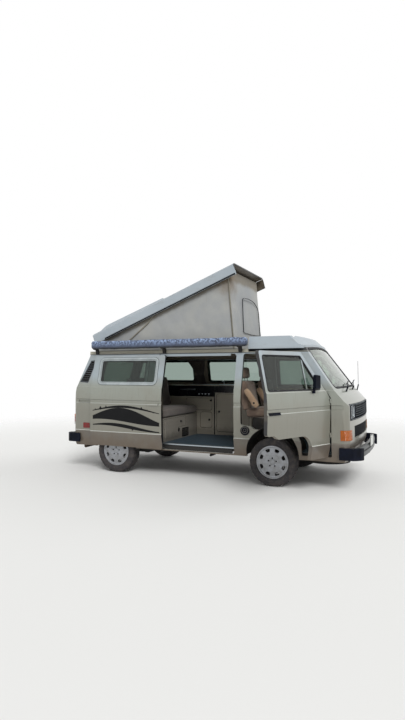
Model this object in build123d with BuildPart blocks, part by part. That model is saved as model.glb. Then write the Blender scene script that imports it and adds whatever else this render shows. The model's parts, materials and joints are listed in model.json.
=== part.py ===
"""Camper van with a raised lifting roof, an open front door and an open sliding door.

Frame: +X is forward, +Y is the van's left, +Z is up. The origin is on the ground, on the centre
line, midway between the axles. Lengths are millimetres.
"""

from build123d import *
import math
import os

os.makedirs("parts", exist_ok=True)

# Running gear
WHEELBASE = 2460
FRONT_AXLE_X = WHEELBASE / 2
REAR_AXLE_X = -WHEELBASE / 2
TRACK = 1570
TYRE_R = 322
TYRE_W = 205
RIM_R = 219
KINGPIN_Y = 735
SHAFT_GAP = 0.3

# Body envelope
WALL = 45
SILL_Z = 380
SILL_HALF = 868
LOWER_Z = 620
LOWER_HALF = 916
BELT_Z = 1075
BELT_HALF = 921
GROOVE_H = 46
GROOVE_D = 10
WAIST_Z = 1285
WAIST_HALF = 905
WAIST_LEDGE = 11
GUTTER_Z = 1800
GUTTER_HALF = 775
ROOF_RISE = 90
NOSE_X = 2300
TAIL_X = -2040
NOSE_SWEEP_R = 6000
TAIL_SWEEP_R = 9000
NOSE_CORNER_R = 122
TAIL_CORNER_R = 92
SCREEN_FOOT = (2112, 1300)
SCREEN_HEAD = (1673, 1890)

# Jacking sockets under the sills and towing eyes
JACK_X = (330, -490)
JACK_Z = 356
JACK_R = 12.5
JACK_DEPTH = 90
JACK_MOUTH_Y = 846
TOW_Z = 330
TOW_R = 16
TOW_FRONT_X = 2240
TOW_REAR_X = -2062

# Openings and panels
GAP = 8
DOOR_REAR_X = 806
DOOR_FRONT_X = 2008
DOOR_TOP_Z = 1772
DOOR_BOTTOM_Z = 757
DOOR_FOOT_Z = 447
DOOR_FOOT_REAR_X = 1640
DOOR_OPEN_DEG = 66
SLIDE_FRONT_X = 696
SLIDE_REAR_X = -560
SLIDE_BOTTOM_Z = 396
SLIDE_TRAVEL = 1079
SLIDE_OUT = 66
ARCH_R = 360
ARCH_Z = 430
REAR_ARCH_R = 352
REAR_ARCH_Z = 405
WINDOW_LOW_Z = 1332
WINDOW_TOP_Z = 1735
GLASS_T = 5
GLASS_DEPTH = 9
GLASS_GAP = 0.3
GATE_HINGE_X = -1804
GATE_HINGE_Z = 1790

# Door mirrors
MIRROR_FOOT_X = 1644
MIRROR_IN = 926
MIRROR_LOW_Z = 1316
MIRROR_W = 112
MIRROR_H = 178
MIRROR_D = 40

# Luggage rack
RACK_REAR_X = 868
RACK_LOW_Z = 1843
RACK_TOP_Z = 2014
RACK_BROW_R = 2250

# Lifting roof
LID_HALF = 700
LID_LENGTH = 2614
LID_SIDE_H = 172
LID_FRONT_LEAN = 20
LID_SKIN = 18
LID_REAR_X = -1800
LID_LOW_Z = 1845
LID_OPEN_DEG = 21.5
ARM_BASE = (-1500, 1960)
ARM_LID_CLOSED = (-1680, 1885)
ARM_LID_OPEN = (-1679, 2036)
CANVAS_T = 6
CANVAS_HALF = 640
ROOF_HOLE = (-1560, 700, 585)


def write(part, name):
    """Labels a finished piece and writes it as parts/name.step."""
    part.label = name
    export_step(part, f"parts/{name}.step")


def block(x0, x1, y0, y1, z0, z1):
    """A plain cuboid between two corners."""
    middle = ((x0 + x1) / 2, (y0 + y1) / 2, (z0 + z1) / 2)
    with BuildPart() as cuboid:
        with Locations(middle):
            Box(x1 - x0, y1 - y0, z1 - z0)
    return cuboid.part


def mirrored(y0, y1):
    """The two ranges of y that lie y0 to y1 out from the centre line."""
    return ((y0, y1), (-y1, -y0))


def pair(x0, x1, y0, y1, z0, z1):
    """The same cuboid on the left and on the right."""
    return block(x0, x1, y0, y1, z0, z1) + block(x0, x1, -y1, -y0, z0, z1)


def polygon_y(points, y0, y1):
    """An (x, z) outline pushed along Y from y0 to y1."""
    with BuildPart() as prism:
        with BuildSketch(Plane.XZ.offset(-y1)):
            Polygon(*points, align=None)
        extrude(amount=y1 - y0)
    return prism.part


def polygon_x(points, x0, x1):
    """A (y, z) outline pushed along X from x0 to x1."""
    with BuildPart() as prism:
        with BuildSketch(Plane.YZ.offset(x0)):
            Polygon(*points, align=None)
        extrude(amount=x1 - x0)
    return prism.part


def polygon_z(points, z0, z1):
    """An (x, y) outline pushed along Z from z0 to z1."""
    with BuildPart() as prism:
        with BuildSketch(Plane.XY.offset(z0)):
            Polygon(*points, align=None)
        extrude(amount=z1 - z0)
    return prism.part


def rod(start, end, radius):
    """A round bar between two points."""
    direction = Vector(*end) - Vector(*start)
    with BuildPart() as bar:
        with BuildSketch(Plane(origin=start, z_dir=direction)):
            Circle(radius)
        extrude(amount=direction.length)
    return bar.part


def lathe(points, axis_x=0, axis_y=0):
    """An (x, z) outline turned about the upright axis through (axis_x, axis_y)."""
    with BuildPart() as turned:
        with BuildSketch(Plane.XZ.offset(-axis_y)):
            Polygon(*points, align=None)
        revolve(axis=Axis((axis_x, axis_y, 0), (0, 0, 1)))
    return turned.part


def corner_cutter(side, end, radius, inset):
    """What rounds one vertical corner of the body in plan. end is 1 at the nose, -1 at the tail."""
    sweep = NOSE_SWEEP_R if end > 0 else TAIL_SWEEP_R
    tip = NOSE_X if end > 0 else TAIL_X
    centre_y = BELT_HALF + 1.5 - radius
    reach = math.sqrt((sweep + 1.5 - radius) ** 2 - centre_y**2)
    centre_x = tip - end * sweep + end * reach
    align_x = Align.MIN if end > 0 else Align.MAX
    align_y = Align.MIN if side > 0 else Align.MAX
    with BuildPart() as cutter:
        with BuildSketch(Plane.XY.offset(SILL_Z - 80)):
            with Locations((centre_x, side * centre_y)):
                Rectangle(300, 300, align=(align_x, align_y))
                Circle(radius - inset, mode=Mode.SUBTRACT)
        extrude(amount=1600)
    return cutter.part


def hull(inset):
    """The closed outer form of the body with every wall moved inwards by inset."""
    half_section = [
        (SILL_HALF, SILL_Z),
        (LOWER_HALF, LOWER_Z - 14),
        (LOWER_HALF, LOWER_Z - 4),
        (LOWER_HALF - GROOVE_D, LOWER_Z + 6),
        (BELT_HALF, BELT_Z - GROOVE_H / 2 - 8),
        (BELT_HALF - GROOVE_D, BELT_Z - GROOVE_H / 2),
        (BELT_HALF - GROOVE_D, BELT_Z + GROOVE_H / 2),
        (BELT_HALF - 1, BELT_Z + GROOVE_H / 2 + 6),
        (WAIST_HALF, WAIST_Z),
        (WAIST_HALF - WAIST_LEDGE, WAIST_Z + WAIST_LEDGE),
        (GUTTER_HALF, GUTTER_Z),
    ]
    if inset > WALL - 1:
        # the inside skips the pressed grooves
        half_section = [p for i, p in enumerate(half_section) if i in (0, 3, 5, 6, 8, 10)]
    bottom = SILL_Z - (2 if inset > 0 else 0)
    right = [(y - inset, max(z, bottom) if z > SILL_Z else bottom) for y, z in half_section]
    right[-1] = (GUTTER_HALF - inset, GUTTER_Z - max(inset, 0) * 0.6)
    right += [(GUTTER_HALF - 60 - inset, GUTTER_Z + ROOF_RISE * 0.6 - inset)]
    outline = right + [(0, GUTTER_Z + ROOF_RISE - inset)] + [(-y, z) for y, z in reversed(right)]
    front = [
        (2235, SILL_Z - 1),
        (2292, 560),
        (NOSE_X, 640),
        (NOSE_X - 8, 1095),
        (NOSE_X - 26, 1120),
        SCREEN_FOOT,
        SCREEN_HEAD,
        (SCREEN_HEAD[0] - 60, GUTTER_Z + ROOF_RISE + 20),
    ]
    rear = [
        (TAIL_X + 30, SILL_Z - 1),
        (TAIL_X, 480),
        (TAIL_X, 640),
        (TAIL_X + 14, BELT_Z),
        (TAIL_X + 50, 1290),
        (TAIL_X + 235, GUTTER_Z),
        (TAIL_X + 290, GUTTER_Z + ROOF_RISE + 20),
    ]
    front_axis = NOSE_X - NOSE_SWEEP_R
    rear_axis = TAIL_X + TAIL_SWEEP_R
    low = SILL_Z - 61
    high = front[-1][1]
    front_points = [(front_axis, low), (front[0][0] - inset, low)]
    front_points += [(x - inset, z) for x, z in front] + [(front_axis, high)]
    rear_points = [(rear_axis, low), (rear[0][0] + inset, low)]
    rear_points += [(x + inset, z) for x, z in rear] + [(rear_axis, high)]
    front_lathe = lathe(front_points, front_axis)
    rear_lathe = lathe(rear_points, rear_axis)
    ends = [(side, end) for side in (-1, 1) for end in (-1, 1)]
    radii = {1: NOSE_CORNER_R, -1: TAIL_CORNER_R}
    cutters = [corner_cutter(side, end, radii[end], inset) for side, end in ends]
    with BuildPart() as form:
        with BuildSketch(Plane.YZ.offset(TAIL_X - 100)):
            Polygon(*outline, align=None)
        extrude(amount=NOSE_X - TAIL_X + 200)
        add(front_lathe, mode=Mode.INTERSECT)
        add(rear_lathe, mode=Mode.INTERSECT)
        for cutter in cutters:
            add(cutter, mode=Mode.SUBTRACT)
    return form.part


def corners(table, grow=0.0):
    """The face inside a table of (x, z, radius) corners, with its edge moved outwards by grow."""
    points = [(x, z) for x, z, _ in table]
    with BuildSketch() as flat:
        with BuildLine():
            FilletPolyline(*points, radius=[r for *_, r in table], close=True)
        make_face()
        if grow:
            offset(amount=grow, kind=Kind.INTERSECTION)
    return flat.sketch


def outline_prism(table, grow, y0, y1):
    """A table's outline, grown by grow, pushed along Y from y0 to y1."""
    face = corners(table, grow)
    with BuildPart() as prism:
        with BuildSketch(Plane.XZ.offset(-y1)):
            add(face)
        extrude(amount=y1 - y0)
    return prism.part


def outline_prism_x(table, grow, x0, x1):
    """A (y, z, radius) table's outline, grown by grow, pushed along X from x0 to x1."""
    face = corners(table, grow)
    with BuildPart() as prism:
        with BuildSketch(Plane.YZ.offset(x0)):
            add(face)
        extrude(amount=x1 - x0)
    return prism.part


def box_table(x0, x1, z0, z1, radius):
    """The corner table of an upright rectangle with round corners."""
    return [(x0, z0, radius), (x1, z0, radius), (x1, z1, radius), (x0, z1, radius)]


def arch(axle_x, radius, centre_z, y0, y1):
    """The round-topped form of a wheel arch, pushed along Y."""
    low = SILL_Z - 100
    with BuildPart() as opening:
        with BuildSketch(Plane.XZ.offset(-y1)):
            with Locations((axle_x, centre_z)):
                Circle(radius)
                Rectangle(2 * radius, centre_z - low, align=(Align.CENTER, Align.MAX))
        extrude(amount=y1 - y0)
    return opening.part


def both_sides(table, grow=0.0, y0=300, y1=1100):
    """A side outline cut through the left and the right wall."""
    return outline_prism(table, grow, y0, y1) + outline_prism(table, grow, -y1, -y0)


# The shell: one wall thick all round, open underneath
outer = hull(0)
inner = hull(WALL)
liner = hull(WALL + SHAFT_GAP)
shell = outer - inner
glass_skin = hull(GLASS_DEPTH) - hull(GLASS_DEPTH + GLASS_T)
lens_skin = hull(-5) - hull(26)
near_skin = hull(-GLASS_GAP)

# Outlines of the openings: (x, z, corner radius)
DOOR = [
    (DOOR_REAR_X, 803, 34),
    (930, 803, 40),
    (1000, DOOR_BOTTOM_Z, 60),
    (DOOR_FOOT_REAR_X, DOOR_BOTTOM_Z, 195),
    (DOOR_FOOT_REAR_X, DOOR_FOOT_Z, 14),
    (DOOR_FRONT_X, DOOR_FOOT_Z, 14),
    (DOOR_FRONT_X, 1190, 60),
    (1919, 1312, 120),
    (1576, DOOR_TOP_Z, 26),
    (DOOR_REAR_X, DOOR_TOP_Z, 26),
]
DOOR_WINDOW = [(852, 1305, 30), (1842, 1305, 18), (1548, 1720, 18), (852, 1720, 30)]
SLIDE = box_table(SLIDE_REAR_X, SLIDE_FRONT_X, SLIDE_BOTTOM_Z, DOOR_TOP_Z + GAP, 45)
MIDDLE_WINDOW = box_table(-439, 586, WINDOW_LOW_Z, WINDOW_TOP_Z, 70)
REAR_WINDOW = box_table(-1590, -690, WINDOW_LOW_Z, WINDOW_TOP_Z, 70)
INTAKE = [(-1905, 1362, 8), (-1745, 1352, 8), (-1645, 1708, 8), (-1745, 1700, 8)]
SCREEN = [(-792, 1322, 50), (792, 1322, 50), (676, 1836, 50), (0, 1872, 6000), (-676, 1836, 50)]
GATE = [(-690, 930, 30), (690, 930, 30), (640, DOOR_TOP_Z, 30), (-640, DOOR_TOP_Z, 30)]
GATE_WINDOW = [(-640, 1325, 60), (640, 1325, 60), (590, 1715, 60), (-590, 1715, 60)]

roof_cut = block(-2300, 2500, -1000, 1000, DOOR_TOP_Z + GAP, 2200)
arch_cuts = arch(FRONT_AXLE_X, ARCH_R, ARCH_Z, -1100, -600)
arch_cuts += arch(FRONT_AXLE_X, ARCH_R, ARCH_Z, 600, 1100)
arch_cuts += arch(REAR_AXLE_X, REAR_ARCH_R, REAR_ARCH_Z, -1100, -600)
arch_cuts += arch(REAR_AXLE_X, REAR_ARCH_R, REAR_ARCH_Z, 600, 1100)
door_cuts = both_sides(DOOR, GAP)
slide_cut = outline_prism(SLIDE, 0, -1100, -300)
side_windows = both_sides(REAR_WINDOW) + outline_prism(MIDDLE_WINDOW, 0, 300, 1100)
intake_cuts = both_sides(INTAKE)
gate_cut = outline_prism_x(GATE, GAP, -2300, -1600)
gate_solid = outline_prism_x(GATE, 0, -2300, -1600)
gate_window = outline_prism_x(GATE_WINDOW, 0, -2300, -1600)
valance_zone = block(-2300, -1700, -696, 696, 300, 930 - GAP)
screen_cut = outline_prism_x(SCREEN, 0, 1500, 2500)
SPLIT_X = 1300

# Side walls with their pillars, arches and window openings
right_half = block(-2300, SPLIT_X, -1000, 0, 300, DOOR_TOP_Z + GAP)
left_half = block(-2300, SPLIT_X, 0, 1000, 300, DOOR_TOP_Z + GAP)
sill_ring = arch(FRONT_AXLE_X, 374, ARCH_Z, -866, -822) - arch(FRONT_AXLE_X, 362, ARCH_Z, -870, -820)
sill_ring -= block(800, 1700, -900, -800, 200, SILL_Z + 1)
slide_rail = block(-1900, SLIDE_REAR_X - 12, -924, -905, BELT_Z - 16, BELT_Z + 16)
slide_rail -= block(-1890, SLIDE_REAR_X, -930, -911, BELT_Z - 8, BELT_Z + 8)

# The roof panel alone reaches in past the gutters
roof_clear = block(-2300, SPLIT_X + 10, -700, 700, 1700, 1850)

with BuildPart() as side_right:
    add(shell)
    add(right_half, mode=Mode.INTERSECT)
    add(arch_cuts, mode=Mode.SUBTRACT)
    add(door_cuts, mode=Mode.SUBTRACT)
    add(slide_cut, mode=Mode.SUBTRACT)
    add(side_windows, mode=Mode.SUBTRACT)
    add(intake_cuts, mode=Mode.SUBTRACT)
    add(gate_cut, mode=Mode.SUBTRACT)
    add(valance_zone, mode=Mode.SUBTRACT)
    add(roof_clear, mode=Mode.SUBTRACT)
    add(slide_rail)
write(side_right.part, "side_right")

with BuildPart() as side_left:
    add(shell)
    add(left_half, mode=Mode.INTERSECT)
    add(arch_cuts, mode=Mode.SUBTRACT)
    add(door_cuts, mode=Mode.SUBTRACT)
    add(side_windows, mode=Mode.SUBTRACT)
    add(intake_cuts, mode=Mode.SUBTRACT)
    add(gate_cut, mode=Mode.SUBTRACT)
    add(valance_zone, mode=Mode.SUBTRACT)
    add(roof_clear, mode=Mode.SUBTRACT)
write(side_left.part, "side_left")

# Nose: front wall, windscreen posts and the strips round the door feet
nose_half = block(SPLIT_X, 2500, -1000, 1000, 300, DOOR_TOP_Z + GAP)
band_low, band_high = 905, 1116
band_cut = block(1900, 2500, -838, 838, band_low, band_high)
mesh_cut = block(2100, 2500, -640, 640, 677, 828)
signal_cut = pair(2128, 2500, 770, 1000, 660, 790)
foot_relief = hull(20) & pair(SPLIT_X, 1652, 700, 1000, DOOR_FOOT_Z - 4, 760)

foot_edge = pair(DOOR_FOOT_REAR_X - 10, 1700, 700, 1000, DOOR_FOOT_Z - GAP, 700)

# Door hinges: stacked barrels on the door's swing axis
hinge_y = BELT_HALF - 1
HINGE_X = DOOR_FRONT_X
hinge_levels = (700, 1130)
hinge_leaves = Part()
hinge_straps = Part()
hinge_notches = Part()
for z in hinge_levels:
    for side in (-1, 1):
        low = (HINGE_X, side * hinge_y, z)
        mid = (HINGE_X, side * hinge_y, z + 28)
        mid_up = (HINGE_X, side * hinge_y, z + 28.3)
        top = (HINGE_X, side * hinge_y, z + 56)
        below = (HINGE_X, side * hinge_y, z - 6)
        hinge_notches += rod(below, mid_up, 13)
        leaf_y0, leaf_y1 = sorted((side * 902, side * (hinge_y + 3)))
        hinge_leaves += [rod(low, mid, 7), block(HINGE_X, HINGE_X + 14, leaf_y0, leaf_y1, z, z + 28)]
        strap = block(HINGE_X - 20, HINGE_X, leaf_y0, leaf_y1, z + 28.3, z + 56)
        hinge_straps += [rod(mid_up, top, 7), strap]

with BuildPart() as nose_panel:
    add(shell)
    add(nose_half, mode=Mode.INTERSECT)
    add(arch_cuts, mode=Mode.SUBTRACT)
    add(door_cuts, mode=Mode.SUBTRACT)
    add(screen_cut, mode=Mode.SUBTRACT)
    add(band_cut, mode=Mode.SUBTRACT)
    add(mesh_cut, mode=Mode.SUBTRACT)
    add(signal_cut, mode=Mode.SUBTRACT)
    add(foot_relief, mode=Mode.SUBTRACT)
    add(foot_edge, mode=Mode.SUBTRACT)
    add(hinge_leaves)
write(nose_panel.part, "nose_panel")

# Tail: valance under the tailgate
lamp_cut = pair(-2300, -1700, 640, 690, 690, 850)
rear_half = block(-2300, -1700, -696, 696, 300, 930 - GAP)
with BuildPart() as rear_valance:
    add(shell)
    add(rear_half, mode=Mode.INTERSECT)
    add(block(-2300, -1700, -600, 600, 300, 470), mode=Mode.SUBTRACT)
write(rear_valance.part, "rear_valance")

# Roof: steel skin with a moulded flange round the opening to the tent
flange_top = LID_LOW_Z - SHAFT_GAP
step_x = RACK_REAR_X - 2
flange = block(-1790, step_x, -768, 768, 1786, flange_top)
roof_step = hull(0) & block(step_x - 4, step_x + 26, -720, 720, 1789, 1900)
hole_x0, hole_x1, hole_half = ROOF_HOLE
roof_hole = block(hole_x0, hole_x1, -hole_half, hole_half, 1700, 1900)
upper_rail = block(-500, SLIDE_FRONT_X - 90, -788, -762, 1752, 1786)
arm_posts = pair(ARM_BASE[0] - 35, ARM_BASE[0] + 35, 596, 608, 1840, ARM_BASE[1] + 22)
gate_slots = block(-1900, GATE_HINGE_X + 14, -434, -366, 1740, 1830)
gate_slots += block(-1900, GATE_HINGE_X + 14, 366, 434, 1740, 1830)
gate_knuckles = Part()
gate_straps = Part()
for y in (-420, 380):
    gate_knuckles += rod((GATE_HINGE_X, y, GATE_HINGE_Z), (GATE_HINGE_X, y + 20, GATE_HINGE_Z), 9)
    gate_knuckles += block(GATE_HINGE_X, GATE_HINGE_X + 34, y, y + 20, GATE_HINGE_Z - 9, GATE_HINGE_Z + 9)
    gate_straps += rod((GATE_HINGE_X, y + 20.3, GATE_HINGE_Z), (GATE_HINGE_X, y + 40, GATE_HINGE_Z), 9)
    gate_straps += block(GATE_HINGE_X - 9, GATE_HINGE_X + 9, y + 20.3, y + 40, DOOR_TOP_Z - 16, GATE_HINGE_Z)
with BuildPart() as roof_frame:
    add(shell)
    add(roof_cut, mode=Mode.INTERSECT)
    add(flange)
    add(roof_step)
    add(block(-1900, step_x, -1000, 1000, flange_top, 2100), mode=Mode.SUBTRACT)
    add(screen_cut, mode=Mode.SUBTRACT)
    add(block(-1700, 1500, -720, 720, 1700, 1789), mode=Mode.SUBTRACT)
    add(roof_hole, mode=Mode.SUBTRACT)
    add(upper_rail)
    add(arm_posts)
    add(gate_slots, mode=Mode.SUBTRACT)
    add(gate_knuckles)
write(roof_frame.part, "roof_frame")

# Luggage rack: an open tray over the cab with a beak above the windscreen
rack_tip_x, rack_tip_z = SCREEN_HEAD[0] + 12, SCREEN_HEAD[1] + 15
rack_side = [
    (RACK_REAR_X, RACK_LOW_Z),
    (rack_tip_x + 5, RACK_LOW_Z),
    (rack_tip_x, rack_tip_z),
    (rack_tip_x - 35, rack_tip_z + 40),
    (rack_tip_x - 85, RACK_TOP_Z - 25),
    (rack_tip_x - 150, RACK_TOP_Z),
    (rack_tip_x - 230, RACK_TOP_Z + 12),
    (RACK_REAR_X, RACK_TOP_Z + 12),
]
rack_front = [(-790, RACK_LOW_Z), (790, RACK_LOW_Z), (790, RACK_LOW_Z + 16), (742, RACK_TOP_Z)]
rack_front += [(400, RACK_TOP_Z + 14), (-400, RACK_TOP_Z + 14), (-742, RACK_TOP_Z), (-790, RACK_LOW_Z + 16)]
brow_axis = rack_tip_x - RACK_BROW_R
nose_axis = NOSE_X - NOSE_SWEEP_R
rack_lip = [(nose_axis, RACK_LOW_Z)] + rack_side[1:-1] + [(nose_axis, RACK_TOP_Z + 12)]
rack_brow = [
    (brow_axis, RACK_LOW_Z),
    (rack_tip_x + 60, RACK_LOW_Z),
    (rack_tip_x + 60, rack_tip_z - 18),
    (rack_tip_x + 4, rack_tip_z + 4),
    (rack_tip_x - 85, RACK_TOP_Z - 25),
    (rack_tip_x - 150, RACK_TOP_Z + 30),
    (brow_axis, RACK_TOP_Z + 30),
]
with BuildPart() as luggage_rack:
    add(polygon_y(rack_side, -800, 800))
    add(polygon_x(rack_front, 800, 1900), mode=Mode.INTERSECT)
    add(lathe(rack_lip, nose_axis), mode=Mode.INTERSECT)
    add(lathe(rack_brow, brow_axis), mode=Mode.INTERSECT)
    add(block(RACK_REAR_X + 37, 1480, -690, 690, GUTTER_Z + ROOF_RISE + 15, 2100), mode=Mode.SUBTRACT)
    add(near_skin, mode=Mode.SUBTRACT)
write(luggage_rack.part, "luggage_rack")

# Windscreen and fixed side windows
screen_pane = outline_prism_x(SCREEN, -GLASS_GAP, 1500, 2500)
fixed_panes = both_sides(REAR_WINDOW, -GLASS_GAP) + outline_prism(MIDDLE_WINDOW, -GLASS_GAP, 300, 1100)
with BuildPart() as body_glass:
    add(glass_skin)
    add(screen_pane + fixed_panes, mode=Mode.INTERSECT)
write(body_glass.part, "body_glass")

# Front lamps and grille band
lamp_y0, lamp_y1, lamp_z0, lamp_z1 = 588, 800, 926, 1096
lamp_hole = pair(2100, 2500, lamp_y0, lamp_y1, lamp_z0, lamp_z1)
centre_hole = block(2100, 2500, -560, 560, lamp_z0, lamp_z1)
bar_zone = Part() + [block(2100, 2500, -575, 575, z, z + 9) for z in range(943, 1090, 29)]
bar_skin = hull(6) - hull(30)
mesh_plate = (hull(16) - hull(30)) & block(2100, 2500, -639.7, 639.7, 677.3, 827.7)
band_body = shell & block(1900, 2500, -837.7, 837.7, band_low + 0.3, band_high - 0.3)
with BuildPart() as front_grille:
    add(band_body)
    add(lamp_hole, mode=Mode.SUBTRACT)
    add(centre_hole, mode=Mode.SUBTRACT)
    add(bar_skin & bar_zone)
    add(mesh_plate)
write(front_grille.part, "front_grille")

lamp_zone = pair(2100, 2500, lamp_y0 + 0.3, lamp_y1 - 0.3, lamp_z0 + 0.3, lamp_z1 - 0.3)
with BuildPart() as headlamps:
    add(hull(4) - hull(WALL - 1))
    add(lamp_zone, mode=Mode.INTERSECT)
write(headlamps.part, "headlamps")

signal_zone = pair(2128.3, 2500, 770.3, 1000, 660.3, 789.7)
with BuildPart() as turn_signals:
    add(lens_skin)
    add(signal_zone, mode=Mode.INTERSECT)
write(turn_signals.part, "turn_signals")

# Bumpers: a curved blade with a boxed cap at each end
blade = [(2352, 430), (2396, 430), (2412, 450), (2412, 548), (2396, 566), (2352, 566)]
blade_axis = NOSE_X - NOSE_SWEEP_R
blade_limit = block(2000, 2500, -800, 800, 400, 600)
cap_points = [(2112, 898), (2112, 930), (2290, 930), (2372, 860), (2398, 800.3), (2330, 800.3), (2296, 860)]
with BuildPart() as front_bumper:
    add(lathe(blade, blade_axis))
    add(blade_limit, mode=Mode.INTERSECT)
write(front_bumper.part, "front_bumper")

rear_profile = [(-2120, 440), (-2136, 450), (-2146, 462), (-2146, 546)]
rear_profile += [(-2130, 566), (-2096, 566), (-2096, 440)]
with BuildPart() as rear_bumper:
    add(lathe(rear_profile, TAIL_X + TAIL_SWEEP_R))
    add(block(-2300, -2000, -800, 800, 400, 600), mode=Mode.INTERSECT)
write(rear_bumper.part, "rear_bumper")

rear_cap_points = [(-1868, 905), (-1868, 930), (-2060, 930), (-2118, 880), (-2132, 800.3), (-2086, 800.3)]
rear_cap_points += [(-2060, 860)]
front_caps = polygon_z(cap_points, 420, 570)
front_caps += polygon_z([(x, -y) for x, y in reversed(cap_points)], 420, 570)
rear_caps = polygon_z(rear_cap_points, 432, 566)
rear_caps += polygon_z([(x, -y) for x, y in reversed(rear_cap_points)], 432, 566)
cap_clear = hull(-1)
with BuildPart() as bumper_caps:
    add(front_caps)
    add(rear_caps)
    add(cap_clear, mode=Mode.SUBTRACT)
write(bumper_caps.part, "bumper_caps")

# Tail lamps sit on the rear corners beside the valance
with BuildPart() as tail_lamps:
    add(hull(-12) - hull(-0.3))
    add(pair(-2300, -1960, 716, 880, 700, 860), mode=Mode.INTERSECT)
write(tail_lamps.part, "tail_lamps")

# Air intakes with slats in the rear pillars
slats = Part() + [block(-1950, -1600, -1000, 1000, z, z + 12) for z in range(1372, 1700, 34)]
intake_body = both_sides(INTAKE, -0.3)
intake_hole = both_sides(INTAKE, -14)
intake_skin = hull(2) - hull(24)
slat_skin = hull(5) - hull(22)
with BuildPart() as air_intakes:
    add(intake_skin)
    add(intake_body, mode=Mode.INTERSECT)
    add(intake_hole, mode=Mode.SUBTRACT)
    add(slat_skin & intake_hole & slats)
write(air_intakes.part, "air_intakes")

# Front doors, made closed; the right one then swings open about its front edge
door_glass_cut = both_sides(DOOR_WINDOW)
divider = pair(1560, 1578, 700, 1000, 1290, 1730)
divider_bar = (hull(3) - hull(22)) & divider & both_sides(DOOR_WINDOW, 3)
door_pull_skin = hull(-12) - hull(-0.3)
handle_left = block(832, 1026, 880, 1000, 1036, 1066)
handle_right = block(832, 1026, -1000, -880, 1036, 1066)
closed_doors = (shell & both_sides(DOOR)) - hinge_notches


def mirror_head(side, folded):
    """A door mirror's head, stalk and foot. side is -1 on the right and 1 on the left."""
    foot_y0, foot_y1 = sorted((side * 880, side * MIRROR_IN))
    stalk_y0, stalk_y1 = sorted((side * (MIRROR_IN - 10), side * (MIRROR_IN + 16)))
    foot_x0, stalk_x0 = MIRROR_FOOT_X - 4, MIRROR_FOOT_X + 2
    low, high = MIRROR_LOW_Z, MIRROR_LOW_Z + MIRROR_H
    start = MIRROR_FOOT_X - 12 if folded else MIRROR_IN
    flip = 1 if folded else side
    end = start + MIRROR_W
    outline = [(start, low + 6), (end, low), (end - 5, high - 6), (start + 10, high)]
    plane = Plane.XZ.offset(-side * MIRROR_IN) if folded else Plane.YZ.offset(MIRROR_FOOT_X)
    with BuildPart() as head:
        with BuildSketch(plane):
            Polygon(*[(flip * u, z) for u, z in outline], align=None)
            fillet(vertices(), 22)
        extrude(amount=MIRROR_D, taper=9)
        add(block(foot_x0, foot_x0 + 34, foot_y0, foot_y1, low - 52, low - 22))
        add(block(stalk_x0, stalk_x0 + 18, stalk_y0, stalk_y1, low - 50, low + 20))
        add(near_skin, mode=Mode.SUBTRACT)
    return head.part


right_side = block(0, 2500, -1100, 0, 0, 2000)
left_side = block(0, 2500, 0, 1100, 0, 2000)
right_swing = Axis((HINGE_X, -hinge_y, 0), (0, 0, 1))
door_panes = glass_skin & both_sides(DOOR_WINDOW, -GLASS_GAP)
door_panes -= pair(1559.7, 1578.3, 700, 1000, 1290, 1730)

with BuildPart() as front_door_right:
    add(closed_doors & right_side)
    add(door_glass_cut, mode=Mode.SUBTRACT)
    add(divider_bar & right_side)
    add(hinge_straps & right_side)
write(front_door_right.part.rotate(right_swing, DOOR_OPEN_DEG), "front_door_right")

with BuildPart() as front_door_left:
    add(closed_doors & left_side)
    add(door_glass_cut, mode=Mode.SUBTRACT)
    add(divider_bar & left_side)
    add(hinge_straps & left_side)
write(front_door_left.part, "front_door_left")

with BuildPart() as door_glass_right:
    add(door_panes & right_side)
write(door_glass_right.part.rotate(right_swing, DOOR_OPEN_DEG), "door_glass_right")

with BuildPart() as door_glass_left:
    add(door_panes & left_side)
write(door_glass_left.part, "door_glass_left")

with BuildPart() as mirror_right:
    add(door_pull_skin & handle_right)
    add(mirror_head(-1, True))
write(mirror_right.part.rotate(right_swing, DOOR_OPEN_DEG), "mirror_right")

with BuildPart() as mirror_left:
    add(door_pull_skin & handle_left)
    add(mirror_head(1, False))
write(mirror_left.part, "mirror_left")

# Sliding door, moved out and back to where it stands open
SLIDE_MOVE = Pos(-SLIDE_TRAVEL, -SLIDE_OUT, 0)
slide_outline = outline_prism(SLIDE, -GAP, -1100, -300)
slide_window = outline_prism(MIDDLE_WINDOW, 0, -1100, -300)
slide_open_front = SLIDE_FRONT_X - GAP - SLIDE_TRAVEL
slide_panel = SLIDE_MOVE * ((shell & slide_outline) - slide_window)
lower_arm = block(slide_open_front - 110, slide_open_front - 20, -940, -838, 400, 412)
upper_arm = block(slide_open_front - 105, slide_open_front - 40, -840, -788.3, 1752, 1764)
centre_arm = block(slide_open_front - 1215, slide_open_front - 1150, -950, -924.3, 1063, 1087)
slide_handle = (hull(-14) - hull(-0.0)) & block(470, 640, -1000, -880, 1034, 1068)
with BuildPart() as sliding_door:
    add(slide_panel)
    add(SLIDE_MOVE * slide_handle)
    add(lower_arm)
    add(upper_arm)
    add(centre_arm)
write(sliding_door.part, "sliding_door")
slide_pane = outline_prism(MIDDLE_WINDOW, -GLASS_GAP, -1100, -300)
with BuildPart() as sliding_door_glass:
    add(SLIDE_MOVE * (glass_skin & slide_pane))
write(sliding_door_glass.part, "sliding_door_glass")

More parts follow.
